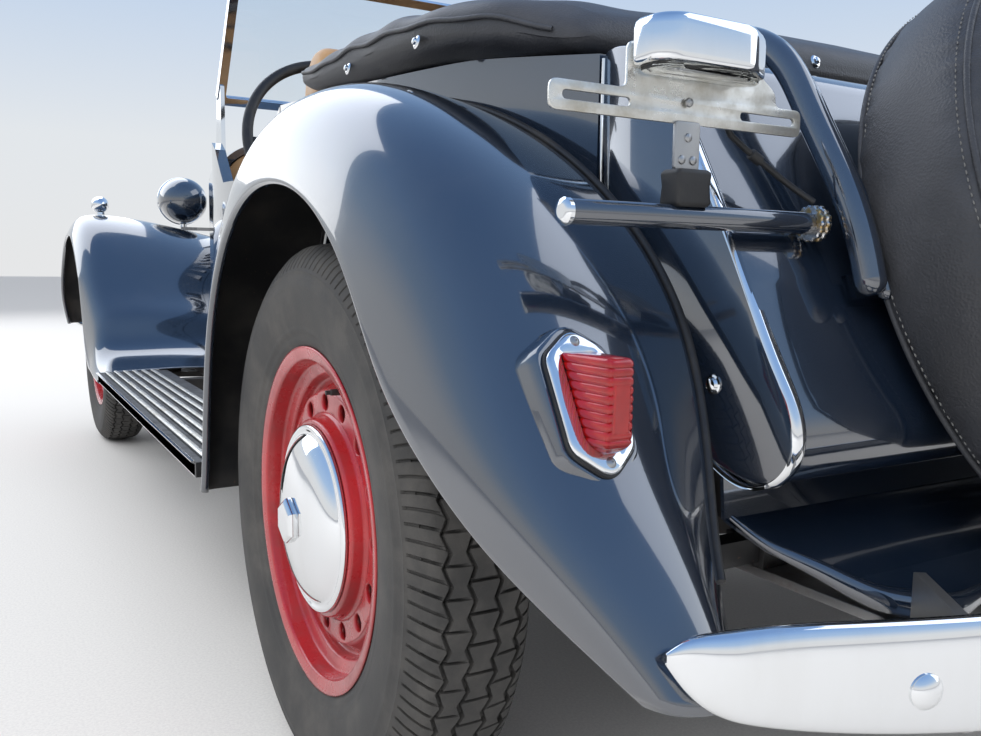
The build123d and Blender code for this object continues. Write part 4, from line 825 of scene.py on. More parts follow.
RIM_LINE = (
    (58, 207), (58.5, 203), (55.5, 190), (34, 187), (30, 172), (16, 169), (17, 163), (24, 157),
    (33, 151.5),
)
NAVE_LINE = ((33, 126.5), (35, 121.5), (50.5, 118.5), (52, 112), (46, 106), (14, 86), (12, 42))
BARREL_LINE = (
    (54, 206), (53, 195), (31, 190), (27, 174), (-24, 174), (-30, 190), (-52, 195), (-54, 206),
    (-58, 207), (-58, 202), (-55, 190), (-33, 187), (-27, 170), (24, 170), (32, 187), (53, 191),
)
BAND = (126.0, 152.0)
HOLES = 15
HOLE_RING = 138.0
HOLE_TOP = 12.0
HOLE_ROLL = 2.0
HOLE_SINK = 2.4
DISC_FACE = 33.0
VALVE_LINE = ((26, 0), (26, 5), (34, 5), (38, 4), (52, 3.6), (53, 2.6), (58, 2.6), (58, 0))
VALVE_PLACE = (0, 60, 160)


def hole_band():
    """The pierced ring: each sector blends from its hole's circle out to the sector's edges.

    Rings of a sector run from the edges in to the hole, then roll over its lip inward.
    """
    turn = np.linspace(0, 2 * pi, 40, endpoint=False)
    square = np.stack([np.cos(turn), np.sin(turn)], axis=-1)
    square /= np.abs(square).max(axis=1, keepdims=True)
    half = pi / HOLES
    middle = sum(BAND) / 2
    edge = np.stack([square[:, 0] * half, middle + square[:, 1] * (BAND[1] - BAND[0]) / 2], -1)

    def ring(radius):
        return np.stack([radius * np.cos(turn) / HOLE_RING, HOLE_RING + radius * np.sin(turn)], -1)

    roll = np.linspace(0, pi / 2, 5)
    radii = HOLE_TOP - HOLE_ROLL * np.sin(roll)
    sinks = HOLE_SINK * (1 - np.cos(roll))
    rings = [edge, edge * 0.5 + ring(HOLE_TOP) * 0.5] + [ring(radius) for radius in radii]
    rings += [ring(radii[-1])]
    drops = np.concatenate([[0.0, 0.0], sinks, [sinks[-1] + 4.0]])
    flat = np.array(rings)
    sector = np.arange(HOLES)[:, None, None] * 2 * half
    angle = flat[None, :, :, 0] + sector
    radius = np.broadcast_to(flat[None, :, :, 1], angle.shape)
    x = np.broadcast_to(DISC_FACE - drops[None, :, None], angle.shape)
    return np.stack([x, radius * np.cos(angle), radius * np.sin(angle)], axis=-1)


CAP_LINE = (
    (52.3, 113), (55.5, 113), (57.5, 111.5), (58.5, 108), (56.5, 104), (57, 101), (60, 98),
)
CAP_DOME = ((60, 98), (64, 93), (70, 82), (75, 66), (79, 48), (81, 30), (81.5, 12), (81.5, 0))
NUT_LINE = ((80.5, 27.5), (87.5, 27.5), (91, 22), (91.5, 12), (91.2, 0))


class ROADSTER_OT_wheels(bpy.types.Operator):
    """Four wheels: grooved tyres, pierced discs with rolled holes, caps with a six-sided boss"""

    bl_idname = "roadster.wheels"
    bl_label = "Wheels"

    def execute(self, context):
        depth = context.scene.roadster_sizes.tread_depth / MM
        for place in WHEEL_PLACES:
            side = 1 if place.x > 0 else -1
            centre = np.array([place.x, place.y, AXLE_Z])
            turned_out = np.array([side, 1, 1])
            body = f"wheel_{place.name}"
            tyre = Shape().add(
                tyre_grid(depth) * turned_out + centre, loop_rows=True, loop_columns=True,
            )
            tyre.piece(f"tread_{place.name}", "tyre", body, [f"tyre_{place.name}"], sharp=30)
            out = (side, 0, 0)
            disc = Shape()
            for line in (RIM_LINE, NAVE_LINE):
                disc.turn(eased(line, 3.0), centre, out, 144, facing=out)
            for sector in hole_band():
                disc.add(sector * turned_out + centre, loop_columns=True, facing=out)
            disc.piece(
                f"disc_{place.name}", "red_paint", body, [f"wheel_{place.name}"], closed=False,
                wall=2.6, sharp=50,
            )
            section = eased(BARREL_LINE, 3.0, closed=True)
            barrel = Shape().turn(section, centre, out, 144, loop_rows=True)
            barrel.piece(f"barrel_{place.name}", "red_paint", body, sharp=50)
            stem = Shape().turn(VALVE_LINE, centre + VALVE_PLACE, out, 14)
            stem.piece(f"valve_{place.name}", "black_rubber", body)
            dome = np.vstack([eased(CAP_LINE, 1.2), smooth_line(CAP_DOME, 26)[1:]])
            cap = Shape().turn(dome, centre, out, 144, facing=out)
            cap.turn(eased(NUT_LINE, 1.6), centre, out, 6, pi / 6, facing=out)
            cap.piece(
                f"cap_{place.name}", "chrome", body, [f"hubcap_{place.name}"], closed=False, sharp=30,
                wall=1.2,
            )
        return {"FINISHED"}


# Tail lamps: a flange that leans with the fender, and the ribbed lens on it
LAMP_MIDDLE = np.array([640.0, 1594.0, 536.5])
LAMP_UP = unit((0.0, -56.0, 95.0))
LAMP_OUT = unit((0.0, 95.0, 56.0))
LAMP_ACROSS = np.array([1.0, 0.0, 0.0])
BEZEL = ((-5, 57), (5, 57), (29, 38), (29, -37), (5, -57), (-5, -57), (-29, -37), (-29, 38))
LENS_SEAT = ((-16, -30), (-8, -40), (8, -40), (16, -30), (16, 39), (-16, 39))
BEZEL_SECTION = ((0.0, 0.3), (0.0, 2.2), (0.06, 3.4), (0.2, 4.2), (0.85, 4.4), (1.0, 3.4), (1.0, 0.3))
SCREW_LINE = ((0, 0), (0, 4.2), (1.2, 4.4), (2.4, 3.4), (3.0, 1.6), (3.1, 0.9), (2.2, 0.8), (2.2, 0))
PLINTH = ((15.0, -34.0), (11.0, -14.0), (7.5, -4.0), (5.5, -2.5))
GASKET = ((2.0, -2.6), (2.4, -1.2), (1.6, 0.4))
SCREW_PLACES = (-48.5, 48.5)
SCREW_HEIGHT = 3.0
LENS_RIBS = 11
LENS_TAPER = 0.24
WINDOW_HALF = 7.5
WINDOW_SPAN = (0.26, 0.74)
WINDOW_FLUTE = 3.75
LensRow = namedtuple("LensRow", "z base back half")
LENS_ROWS = (
    LensRow(501.0, 1614.0, 1617.0, 6.0), LensRow(504.0, 1612.0, 1623.0, 9.5),
    LensRow(508.0, 1610.0, 1629.5, 13.5), LensRow(512.0, 1607.5, 1632.0, 15.5),
    LensRow(540.0, 1591.0, 1633.0, 15.5), LensRow(567.0, 1575.0, 1633.0, 15.5),
    LensRow(570.5, 1574.0, 1632.0, 15.3), LensRow(572.5, 1576.0, 1630.0, 14.8),
)


def grown(outline, amount):
    """The outline's points moved straight out from its middle by amount."""
    outline = np.asarray(outline, float)
    return outline + unit(outline - outline.mean(axis=0)) * amount


def reach_points(outline, around):
    """Points of a closed outline in the directions around its middle, dense enough for its sides."""
    closed = np.vstack([outline, outline[:1]])
    walked = chord(closed)
    dense = np.linspace(0.0, walked[-1], 1441)[:-1]
    dense = np.stack([np.interp(dense, walked, closed[:, axis]) for axis in (0, 1)], axis=-1)
    angles = np.arctan2(dense[:, 1], dense[:, 0])
    reach = np.interp(around, angles, np.linalg.norm(dense, axis=1), period=2 * pi)
    return np.stack([reach * np.cos(around), reach * np.sin(around)], axis=-1)


def on_flange(outline, height):
    """Points of the flange's plane at a height above it."""
    outline = np.asarray(outline, float)
    spots = outline[:, :1] * LAMP_ACROSS + outline[:, 1:] * LAMP_UP
    return LAMP_MIDDLE + spots + height * LAMP_OUT


def lens_grid():
    """Slices of the lens: rounded oblongs, narrower at the back, that swell in level ribs.

    A window in the back face has upright flutes instead of the ribs.
    """
    table = np.array(LENS_ROWS)
    z = np.linspace(table[0, 0], table[-1, 0], LENS_RIBS * 10 + 1)
    base, back, half = (np.interp(z, table[:, 0], column)[:, None] for column in table.T[1:])
    share = ((z - z[0]) / (z[-1] - z[0]))[:, None]
    swell = np.abs(np.sin(share * pi * LENS_RIBS)) ** 0.6
    tx, ty = squarish(np.linspace(0, 2 * pi, 180, endpoint=False), 0.24)
    depth = (ty[None] + 1) / 2
    x = tx[None] * (half * (1 - LENS_TAPER * depth) - 1.2 + 1.2 * swell)
    window = (np.abs(x) < WINDOW_HALF) & (share > WINDOW_SPAN[0]) & (share < WINDOW_SPAN[1])
    flute = np.abs(np.sin(x * pi / WINDOW_FLUTE)) ** 0.7 - 0.6
    y = base + depth * (back - base) + (ty[None] > 0.9) * np.where(window, flute, swell - 1)
    return np.stack([x + LAMP_MIDDLE[0], y, np.broadcast_to(z[:, None], x.shape)], axis=-1)


class ROADSTER_OT_tail_lamps(bpy.types.Operator):
    """Tail lamps: painted plinth, rubber gasket, plated bezel and ribbed lens"""

    bl_idname = "roadster.tail_lamps"
    bl_label = "Tail lamps"

    def execute(self, context):
        outline = eased(BEZEL, 8.0, closed=True)
        for name, slot, section, nodes in (
            ("tail_lamp_plinths", "black_paint", PLINTH, ["tail_lamp_bases"]),
            ("tail_lamp_gaskets", "black_rubber", GASKET, ()),
        ):
            rows = [on_flange(grown(outline, amount), height) for amount, height in section]
            block = Shape().add(np.array(rows), loop_columns=True, caps=True).mirrored()
            block.piece(name, slot, stands_for=nodes)
        around = np.linspace(0, 2 * pi, 240, endpoint=False)
        rim = reach_points(outline, around)
        seat = reach_points(eased(LENS_SEAT, 5.0, steps=8, closed=True), around)
        rows = [on_flange(rim + (seat - rim) * share, height) for share, height in BEZEL_SECTION]
        bezel = Shape().add(np.array(rows), loop_rows=True, loop_columns=True).mirrored()
        bezel.piece("tail_lamp_bezels", "chrome", sharp=50)
        lens = Shape().add(lens_grid(), loop_columns=True, caps=True).mirrored()
        lens.piece("tail_lamp_ribbed_lenses", "red_lens", stands_for=["tail_lamp_lenses"], sharp=60)
        screws = Shape()
        for along in SCREW_PLACES:
            place = LAMP_MIDDLE + LAMP_UP * along + LAMP_OUT * SCREW_HEIGHT
            screws.turn(SCREW_LINE, place, LAMP_OUT, 24)
        screws.mirrored().piece("tail_lamp_screws", "steel")
        return {"FINISHED"}


# Bumpers: (x, top, bottom) along half a blade
REAR_BLADE = (
    (0, 406, 318), (450, 405, 322), (545, 409, 333), (606, 410, 344), (640, 408, 357),
    (658, 404, 374), (668, 397, 389),
)
FRONT_BLADE = (
    (0, 440, 352), (560, 438, 356), (640, 434, 364), (680, 424, 376), (694, 412, 390),
    (700, 404, 398),
)
Blade = namedtuple("Blade", "name rows end_y centre_y node")
BLADES = (
    Blade("rear_blade", REAR_BLADE, 1722.0, 1841.5, "bumper_rear"),
    Blade("front_blade", FRONT_BLADE, -1750.0, -1841.5, "bumper_front"),
)
BLADE_BULGE = 11.0
BLADE_WALL = 2.2
BOLT_DOME = ((0, 0), (0, 12), (1.5, 12.5), (3.5, 10.5), (5.6, 6), (6.4, 0))
BUMPER_BOLTS = (
    ((498, 1783, 361), (0.26, 0.965, 0)), ((315, -1830.5, 398), (0.12, -0.99, 0)),
)
Iron = namedtuple("Iron", "name slot outline ease thickness edge height")
IRONS = (
    Iron("rear_iron", "steel", ((285, 1442), (345, 1442), (345, 1640), (460, 1785),
                                (400, 1797.5), (285, 1660)), 8.0, 10, 1.2, 326.5),
    Iron("rear_upright", "steel", ((366, 1690), (374, 1684), (450, 1785), (440, 1787.5)),
         0.0, 70, 1.0, 357),
    Iron("rear_foot", "chassis_black", ((286, 1443), (344, 1443), (344, 1497), (286, 1497)),
         0.0, 34, 1.5, 342.7),
    Iron("front_iron", "chassis_black", ((300, -1826), (330, -1826), (330, -1700), (300, -1700)),
         0.0, 12, 1.5, 400),
)


def blade_grid(rows, end_y, centre_y):
    """A blade: its line is an arc in plan, its section a squarish half round with rolled edges.

    x = end * sin t; the section's height follows the table, its bulge stands out from the arc.
    """
    rows = np.array(rows, float)
    end_x = rows[-1, 0]
    sign = 1.0 if centre_y > 0 else -1.0
    sag = abs(centre_y - end_y)
    reach = (end_x ** 2 + sag ** 2) / (2 * sag)
    x = end_x * np.sin(np.linspace(-pi / 2, pi / 2, 170))
    y = centre_y - sign * (reach - np.sqrt(reach ** 2 - x ** 2))
    top = spline(rows[:, 0], rows[:, 1], np.abs(x))[:, 0]
    bottom = spline(rows[:, 0], rows[:, 2], np.abs(x))[:, 0]
    half = (top - bottom) / 2
    out = np.stack([x / reach, sign * np.sqrt(1 - (x / reach) ** 2)], axis=-1)
    rise, bulge = squarish(np.linspace(-0.95, pi + 0.95, 44), 0.75)
    bulge = np.minimum(half / 30, 1.0)[:, None] * BLADE_BULGE * bulge[None]
    z = (top + bottom)[:, None] / 2 + half[:, None] * rise[None]
    plan = np.stack([x, y], axis=-1)[:, None] + out[:, None] * (bulge[..., None] - 4.0)
    return np.concatenate([plan, z[..., None]], axis=-1)


class ROADSTER_OT_bumpers(bpy.types.Operator):
    """Plated bumper blades with domed bolts, and the irons that carry them"""

    bl_idname = "roadster.bumpers"
    bl_label = "Bumpers"

    def execute(self, context):
        for blade in BLADES:
            grid = blade_grid(blade.rows, blade.end_y, blade.centre_y)
            plated = Shape().add(grid, facing=(0, blade.centre_y, 0))
            plated.piece(blade.name, "chrome", stands_for=[blade.node], closed=False,
                         wall=BLADE_WALL)
        bolts = Shape()
        for place, axis in BUMPER_BOLTS:
            bolts.turn(BOLT_DOME, place, axis, 32)
        bolts.mirrored().piece("bumper_bolts", "chrome")
        for name, sign in SIDES:
            for iron in IRONS:
                outline = np.array(iron.outline) * (sign, 1)
                if iron.ease:
                    outline = eased(outline, iron.ease, closed=True)
                cut_plate(f"{iron.name}_{name}", iron.slot, [outline], iron.thickness, iron.edge,
                          (0, 0, iron.height), (1, 0, 0), (0, 1, 0))
        return {"FINISHED"}


# Fuel tank, its trim, and the carrier of the spare wheel
TANK_HALF = 455.0
TANK_LINE = (
    (1345, 852), (1362, 862), (1418, 850), (1485, 753), (1555, 644), (1625, 506), (1622, 474),
    (1602, 452), (1560, 452), (1520, 465), (1372, 500),
)
TANK_SLICES = (
    (-455, 3), (-453.6, 1), (-451, 0), (-150, 0), (150, 0), (451, 0), (453.6, 1), (455, 3),
)
TANK_STRIP = (
    (1414, 851), (1448, 810), (1491, 744), (1535, 670), (1562, 622), (1600, 555), (1625, 500),
    (1621, 476), (1602, 455), (1580, 447), (1549, 452), (1521, 466),
)
STRIP_SECTION = ((-7.5, -1.5), (-6.5, 1.6), (-3, 3), (3, 3), (6.5, 1.6), (7.5, -1.5))
STRIP_INSET = 5.5
BEAD_X = TANK_HALF + 0.5
FRONT_BEAD_Y = 1351.0
FRONT_BEAD_SPAN = (640, 850)
LOW_BEAD = ((1351, 640), (1353, 560), (1366, 512), (1400, 494), (1470, 478), (1521, 466))
TANK_BOLT = ((0, 0), (0, 9), (1.5, 9), (2, 7), (5, 5.5), (6, 3), (6.2, 0))
TANK_BOLT_PLACE = (TANK_HALF, 1530, 532)
ARM_X = 345.0
ARM_RADIUS = 14.0
SLIM_ARM_X = 322.0
SLIM_ARM_RADIUS = 8.0
SLIM_ARM_DROP = 10.0
CARRIER_PLATE = ((1571, 630), (1579, 610), (1584, 612), (1576, 632))
CARRIER_LINE = (
    (1345, 873), (1400, 871), (1452, 861), (1490, 836), (1524, 786), (1562, 724), (1594, 658),
    (1603, 628),
)
APRON_LIP = (
    (0, 1660, 352, 5), (172, 1664, 351, 6), (270, 1671, 347, 9), (311, 1673, 346, 13),
    (345, 1662, 352, 13), (372, 1650, 359, 11), (410, 1618, 380, 8), (437, 1587, 396, 5),
    (452, 1556, 415, 3),
)


def lip_grid():
    """The apron's rolled edge: a round of changing thickness along (x, y, z) of its lower edge."""
    half = np.array(APRON_LIP, float)
    knots = np.vstack([half[:0:-1] * (-1, 1, 1, 1), half])
    line = smooth_line(knots, 161)
    rolled = carried(circle(1.0, 18), line[:, :3])
    return line[:, None, :3] + (rolled - line[:, None, :3]) * line[:, None, 3:]


class ROADSTER_OT_tank(bpy.types.Operator):
    """Slab tank with its plated edge strips, and the bent tubes behind it"""

    bl_idname = "roadster.tank"
    bl_label = "Fuel tank"

    def execute(self, context):
        line = eased(TANK_LINE, 24.0, steps=6, closed=True)
        middle = line.mean(axis=0)
        rows = [at_x(x, line - unit(line - middle) * inset) for x, inset in TANK_SLICES]
        tank = Shape().add(np.array(rows), loop_columns=True, caps=True)
        tank.piece("slab_tank", "black_paint", stands_for=["fuel_tank"], sharp=50)
        path = at_x(TANK_HALF - STRIP_INSET, smooth_line(TANK_STRIP, 110))
        trim = Shape().run(STRIP_SECTION, path[::-1], up=(0, 1, 0.6)).mirrored()
        trim.piece("tank_edge_strips", "chrome", sharp=60)
        front = np.column_stack([np.full(40, FRONT_BEAD_Y), np.linspace(*FRONT_BEAD_SPAN, 40)])
        beads = Shape().run(circle(2.2, 10), at_x(BEAD_X, front), up=(0, 1, 0))
        beads.run(circle(2.0, 10), at_x(BEAD_X, smooth_line(LOW_BEAD, 60)), up=(1, 0, 0))
        beads.mirrored().piece("tank_beads", "chrome")
        bolts = Shape().turn(TANK_BOLT, TANK_BOLT_PLACE, (1, 0, 0), 24).mirrored()
        bolts.piece("tank_bolts", "chrome")
        Shape().add(lip_grid(), loop_columns=True, caps=True).piece("apron_lip", "black_paint")
        arm = smooth_line(CARRIER_LINE, 70)
        outer = at_x(ARM_X, arm)
        inner = at_x(SLIM_ARM_X, arm - (0, SLIM_ARM_DROP))
        arms = Shape().run(circle(ARM_RADIUS, 20), outer).run(circle(SLIM_ARM_RADIUS, 14), inner)
        turn = np.linspace(0.0, pi / 2, 7)
        dome = np.vstack([[(-0.2, 0.0)], np.column_stack([np.sin(turn), np.cos(turn)])])
        for tube, radius in ((outer, ARM_RADIUS), (inner, SLIM_ARM_RADIUS)):
            arms.turn(dome * radius, tube[-1], tube[-1] - tube[-2], 20)
        arms.mirrored()
        plate = np.array([[(x, y, z) for x in (-ARM_X, ARM_X)] for y, z in CARRIER_PLATE])
        arms.add(plate, loop_rows=True)
        arms.piece("carrier_tubes", "black_paint", stands_for=["spare_carrier"])
        return {"FINISHED"}


# Plate bracket with its lamp, and the lead that feeds the lamp
TAB_LINE = (
    (655, 753), (655, 776), (583, 776), (583, 812), (457, 812), (420, 788), (420, 776), (388, 776),
    (388, 753),
)
BRACKET_Y = 1552.0
LAMP_PLAN = ((582, 1554), (582, 1582), (568, 1594), (486, 1594), (450, 1570), (462, 1554))
LAMP_LAYERS = ((792, 4.0), (793, 1.5), (795, 0.4), (799, 0.0), (819, 0.0), (824, 1.2), (827, 4.0),
               (828.5, 9.0))
WINDOW_LAYERS = ((792.5, 0), (788.5, 1), (787, 4))
SLOT_MIDDLES = (428.5, 611.0)
SLOT_Z = 765.0
SLOT_HALF = 29.0
SLOT_RADIUS = 3.5
BAR_MIDDLE = np.array([0.0, 1556.0, 678.0])
BAR_LEFT = BAR_MIDDLE + (643, 0, 0)
BAR_LINE = ((0, 0), (0, 7), (1, 9), (3, 10), (270, 10), (282.7, 10), (282.7, 0))
BAR_CAP = ((0, 0), (-1.5, 5), (-0.6, 9), (1.5, 10.8), (5, 10.8), (5, 9))
CLAMP_X = 374.3
CLAMP_LINE = (
    (0, 10), (0, 15), (1.5, 16), (4, 16), (5, 14.5), (8, 14.5), (9, 16), (12.5, 16), (14, 14),
    (14, 10),
)
KNURL = 0.035
BLOCK = ((502.5, 1544), (539.5, 1544), (539.5, 1568), (502.5, 1568))
BLOCK_LAYERS = ((686, 3), (688, 0.5), (690, 0), (703, 1.2), (712, 0), (714, 0.5), (716, 3))
STRAP = ((508, 716), (534, 716), (534, 755), (508, 755))
STRAP_Y = 1554.5
RIVET_Y = 1556.2
RIVET = ((0, 0), (0, 4), (1.4, 3.4), (2.2, 1.6), (2.4, 0))
RIVET_PLACES = ((515, 724), (527, 724), (521, 742), (521, 770))
LEAD_ROUTE = (
    (0.466, 1.5472, 0.772), (0.466, 1.540, 0.756), (0.444, 1.538, 0.744), (0.412, 1.541, 0.726),
    (0.384, 1.546, 0.709), (0.368, 1.556, 0.6973),
)
SLEEVE = ((-7, 0), (-7, 3.6), (-6, 5), (6, 5), (7, 3.6), (7, 0))
LEAD_RADIUS = 0.003


def layered(plan, layers):
    """A level outline stacked up: each layer's height, and how far it draws in."""
    rows = [np.column_stack([grown(plan, -inset), np.full(len(plan), z)]) for z, inset in layers]
    return np.array(rows)


class ROADSTER_OT_plate(bpy.types.Operator):
    """Slotted plate tab, its bar, clamp, rubber block, strap and lamp"""

    bl_idname = "roadster.plate"
    bl_label = "Plate bracket"

    def execute(self, context):
        turn = np.linspace(-pi / 2, pi / 2, 9)
        half = np.stack([SLOT_HALF + SLOT_RADIUS * np.cos(turn), SLOT_RADIUS * np.sin(turn)], -1)
        slots = [np.vstack([half, -half]) + (middle, SLOT_Z) for middle in SLOT_MIDDLES]
        plate = [eased(TAB_LINE, 7.0, closed=True), *slots]
        cut_plate("plate_tab", "chrome", plate, 3.0, 0.5, (0, BRACKET_Y, 0), (1, 0, 0), (0, 0, 1),
                  stands_for=["plate_bracket"], look="bare_plate")
        bar = Shape().turn(BAR_LINE, BAR_LEFT, (-1, 0, 0), 32)
        bar.piece("plate_bar", "black_paint", sharp=50)
        Shape().turn(BAR_CAP, BAR_LEFT, (-1, 0, 0), 32).piece("plate_bar_cap", "chrome")
        knurl = 1 + KNURL * np.sign(np.sin(np.arange(60) * pi / 2 + 0.5))[None, :, None]
        grip = turned(CLAMP_LINE, (CLAMP_X, 0, 0), (-1, 0, 0), 60)
        grip[..., 1:] *= knurl
        clamp = Shape().add(grip + BAR_MIDDLE, loop_rows=True, loop_columns=True)
        clamp.piece("plate_bar_clamp", "chrome", look="old_brass", sharp=20)
        block = Shape().add(layered(eased(BLOCK, 4.0, closed=True), BLOCK_LAYERS),
                            loop_columns=True, caps=True)
        block.piece("plate_block", "black_rubber")
        cut_plate("plate_strap", "steel", [eased(STRAP, 3.0, closed=True)], 4.0, 0.6,
                  (0, STRAP_Y, 0), (1, 0, 0), (0, 0, 1))
        rivets = Shape()
        for x, z in RIVET_PLACES:
            rivets.turn(RIVET, (x, RIVET_Y, z), (0, 1, 0), 16)
        rivets.piece("plate_rivets", "steel")
        plan = eased(LAMP_PLAN, 8.0, steps=6, closed=True)
        shell = Shape().add(layered(plan, LAMP_LAYERS), loop_columns=True, caps=True)
        shell.piece("plate_lamp_shell", "chrome", stands_for=["plate_lamp"], sharp=40)
        window = eased(grown(plan, -6.0), 4.0, closed=True)
        pane = Shape().add(layered(window, WINDOW_LAYERS), loop_columns=True, caps=True)
        pane.piece("plate_lamp_window", "clear_glass")
        return {"FINISHED"}


class ROADSTER_OT_lead(bpy.types.Operator):
    """The plate lamp's lead: one smooth spline, with the joint sleeve on it"""

    bl_idname = "roadster.lead"
    bl_label = "Plate lamp lead"

    def execute(self, context):
        curve = bpy.data.curves.new("plate_lamp_lead_line", "CURVE")
        curve.dimensions = "3D"
        curve.resolution_u = 12
        line = curve.splines.new("NURBS")
        line.points.add(len(LEAD_ROUTE) - 1)
        for point, spot in zip(line.points, LEAD_ROUTE):
            point.co = (*spot, 1.0)
        line.order_u = 3
        line.use_endpoint_u = True
        lead = bpy.data.objects.new("plate_lamp_lead_line", curve)
        bpy.context.scene.collection.objects.link(lead)
        walked = bpy.data.meshes.new_from_object(lead)
        spots = np.array([vertex.co[:] for vertex in walked.vertices]) / MM
        bpy.data.meshes.remove(walked)
        curve.bevel_depth = LEAD_RADIUS
        curve.bevel_resolution = 4
        curve.use_fill_caps = True
        curve.materials.append(finish_of("black_rubber"))
        middle = len(spots) // 2
        along = spots[middle + 1] - spots[middle - 1]
        joint = Shape().turn(SLEEVE, spots[middle], along, 20)
        joint = joint.piece("plate_lamp_sleeve", "black_rubber")
        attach(lead, "car")
        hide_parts("plate_lamp_lead")
        return {"FINISHED"}


# Soft covers: the spare wheel's, and the one over the folded hood
SPARE_MIDDLE = np.array([0.0, 1645.0, 656.0])
SPARE_AXIS = np.array([0.0, cos(radians(22.0)), sin(radians(22.0))])
COVER_LINE = (
    (60, 0), (63, 90), (69, 190), (74, 255), (73, 288), (65, 311), (48, 325), (20, 331), (-20, 331),
    (-48, 325), (-65, 311), (-72, 285), (-72, 220), (-68, 100), (-66, 0),
)
SEAMS = ((55.0, 321.0), (-55.0, 321.0))
STITCHES = 300
STITCH_RINGS = ((47.0, 326.5), (62.0, 315.5), (-47.0, 326.5), (-62.0, 315.5))
STITCH_SIZE = 2.2
STITCH = (
    (-1, 0, 0), (-0.4, 0.35, 0), (-0.4, -0.2, 0.3), (-0.4, -0.2, -0.3), (0.4, 0.35, 0),
    (0.4, -0.2, 0.3), (0.4, -0.2, -0.3), (1, 0, 0),
)
STITCH_FACES = (
    (0, 1, 2), (0, 2, 3), (0, 3, 1), (1, 4, 5), (1, 5, 2), (2, 5, 6), (2, 6, 3), (3, 6, 4),
    (3, 4, 1), (4, 7, 5), (5, 7, 6), (6, 7, 4),
)
STUD_LINE = ((0, 0), (0, 8), (1.5, 8.5), (3, 7), (3.5, 4.5), (6, 4), (7, 2.5), (7.4, 0))
STUDS = (
    ((556, 1112, 900), (1, 0, 0.2)), ((562, 900, 905), (1, 0, 0.2)),
    ((330, 1310, 893), (0.1, 1, 0.3)), ((110, 1322, 893), (0, 1, 0.3)),
)
HoodRow = namedtuple("HoodRow", "y half crown drop bottom")
HOOD_ROWS = (
    HoodRow(664, 556, 962, 8, 916), HoodRow(720, 560, 966, 8, 904), HoodRow(787, 562, 967, 8, 897),
    HoodRow(980, 562, 967, 8, 889), HoodRow(1150, 547, 956, 8, 882), HoodRow(1250, 514, 941, 8, 870),
    HoodRow(1325, 466, 909, 6, 863),
)


def place_on_spare(points):
    """Points about the X axis turned onto the spare wheel's leaning axis."""
    side = np.array([1.0, 0.0, 0.0])
    up = np.cross(side, SPARE_AXIS)
    return (SPARE_MIDDLE + points[..., :1] * SPARE_AXIS + points[..., 1:2] * side
            + points[..., 2:] * up)


class ROADSTER_OT_spare(bpy.types.Operator):
    """Spare wheel cover: stretched leathercloth with gathered edges, piped and stitched seams"""

    bl_idname = "roadster.spare"
    bl_label = "Spare wheel cover"

    def execute(self, context):
        line = smooth_line(COVER_LINE, 120)
        grid = turned(line, (0, 0, 0), (1, 0, 0), 360)
        turn = np.linspace(0, 2 * pi, 360, endpoint=False)[None]
        across, reach = line[:, :1], line[:, 1:]
        gather = np.exp(-((np.abs(across) - 50) / 12) ** 2) * (reach > 250)
        gather = gather + 0.5 * np.exp(-((reach - 285) / 26) ** 2)
        folds = np.sin(turn * 46 + 3 * np.sin(turn * 5)) + 0.6 * np.sin(turn * 83 + 1.3)
        slack = np.sin(turn * 3 + across * 0.04) * 1.4 + np.sin(turn * 7 - across * 0.06) * 0.7
        swell = (gather * folds * 0.8 + slack * (reach > 120)) / np.maximum(reach, 1.0)
        radial = grid.copy()
        radial[..., 1:] *= 1 + swell[..., None]
        radial[..., 0] += slack * 1.2 * np.clip(reach / 300, 0, 1) * np.sign(across)
        cover = Shape().add(place_on_spare(radial), loop_columns=True)
        made = cover.piece("spare_leathercloth", "vinyl", stands_for=["spare_cover"], sharp=180)
        seams = Shape()
        for along, radius in SEAMS:
            ring = place_on_spare(turned([(along, radius + 1.5)], (0, 0, 0), (1, 0, 0), 240)[0])
            seams.add(ring_rope(ring, SPARE_AXIS, 3.0), loop_rows=True, loop_columns=True)
        seams.piece("spare_piping", "vinyl")
        stitches = Shape()
        stitch = np.array(STITCH) * STITCH_SIZE
        for along, radius in STITCH_RINGS:
            ring = place_on_spare(turned([(along, radius)], (0, 0, 0), (1, 0, 0), STITCHES)[0])
            ahead = unit(np.roll(ring, -1, axis=0) - np.roll(ring, 1, axis=0))
            outward = unit(ring - SPARE_MIDDLE)
            axes = np.stack([ahead, outward, np.cross(ahead, outward)], axis=1)
            stitches.scatter(stitch, STITCH_FACES, ring, axes)
        stitches.piece("spare_stitches", "vinyl", look="thread")
        return {"FINISHED"}


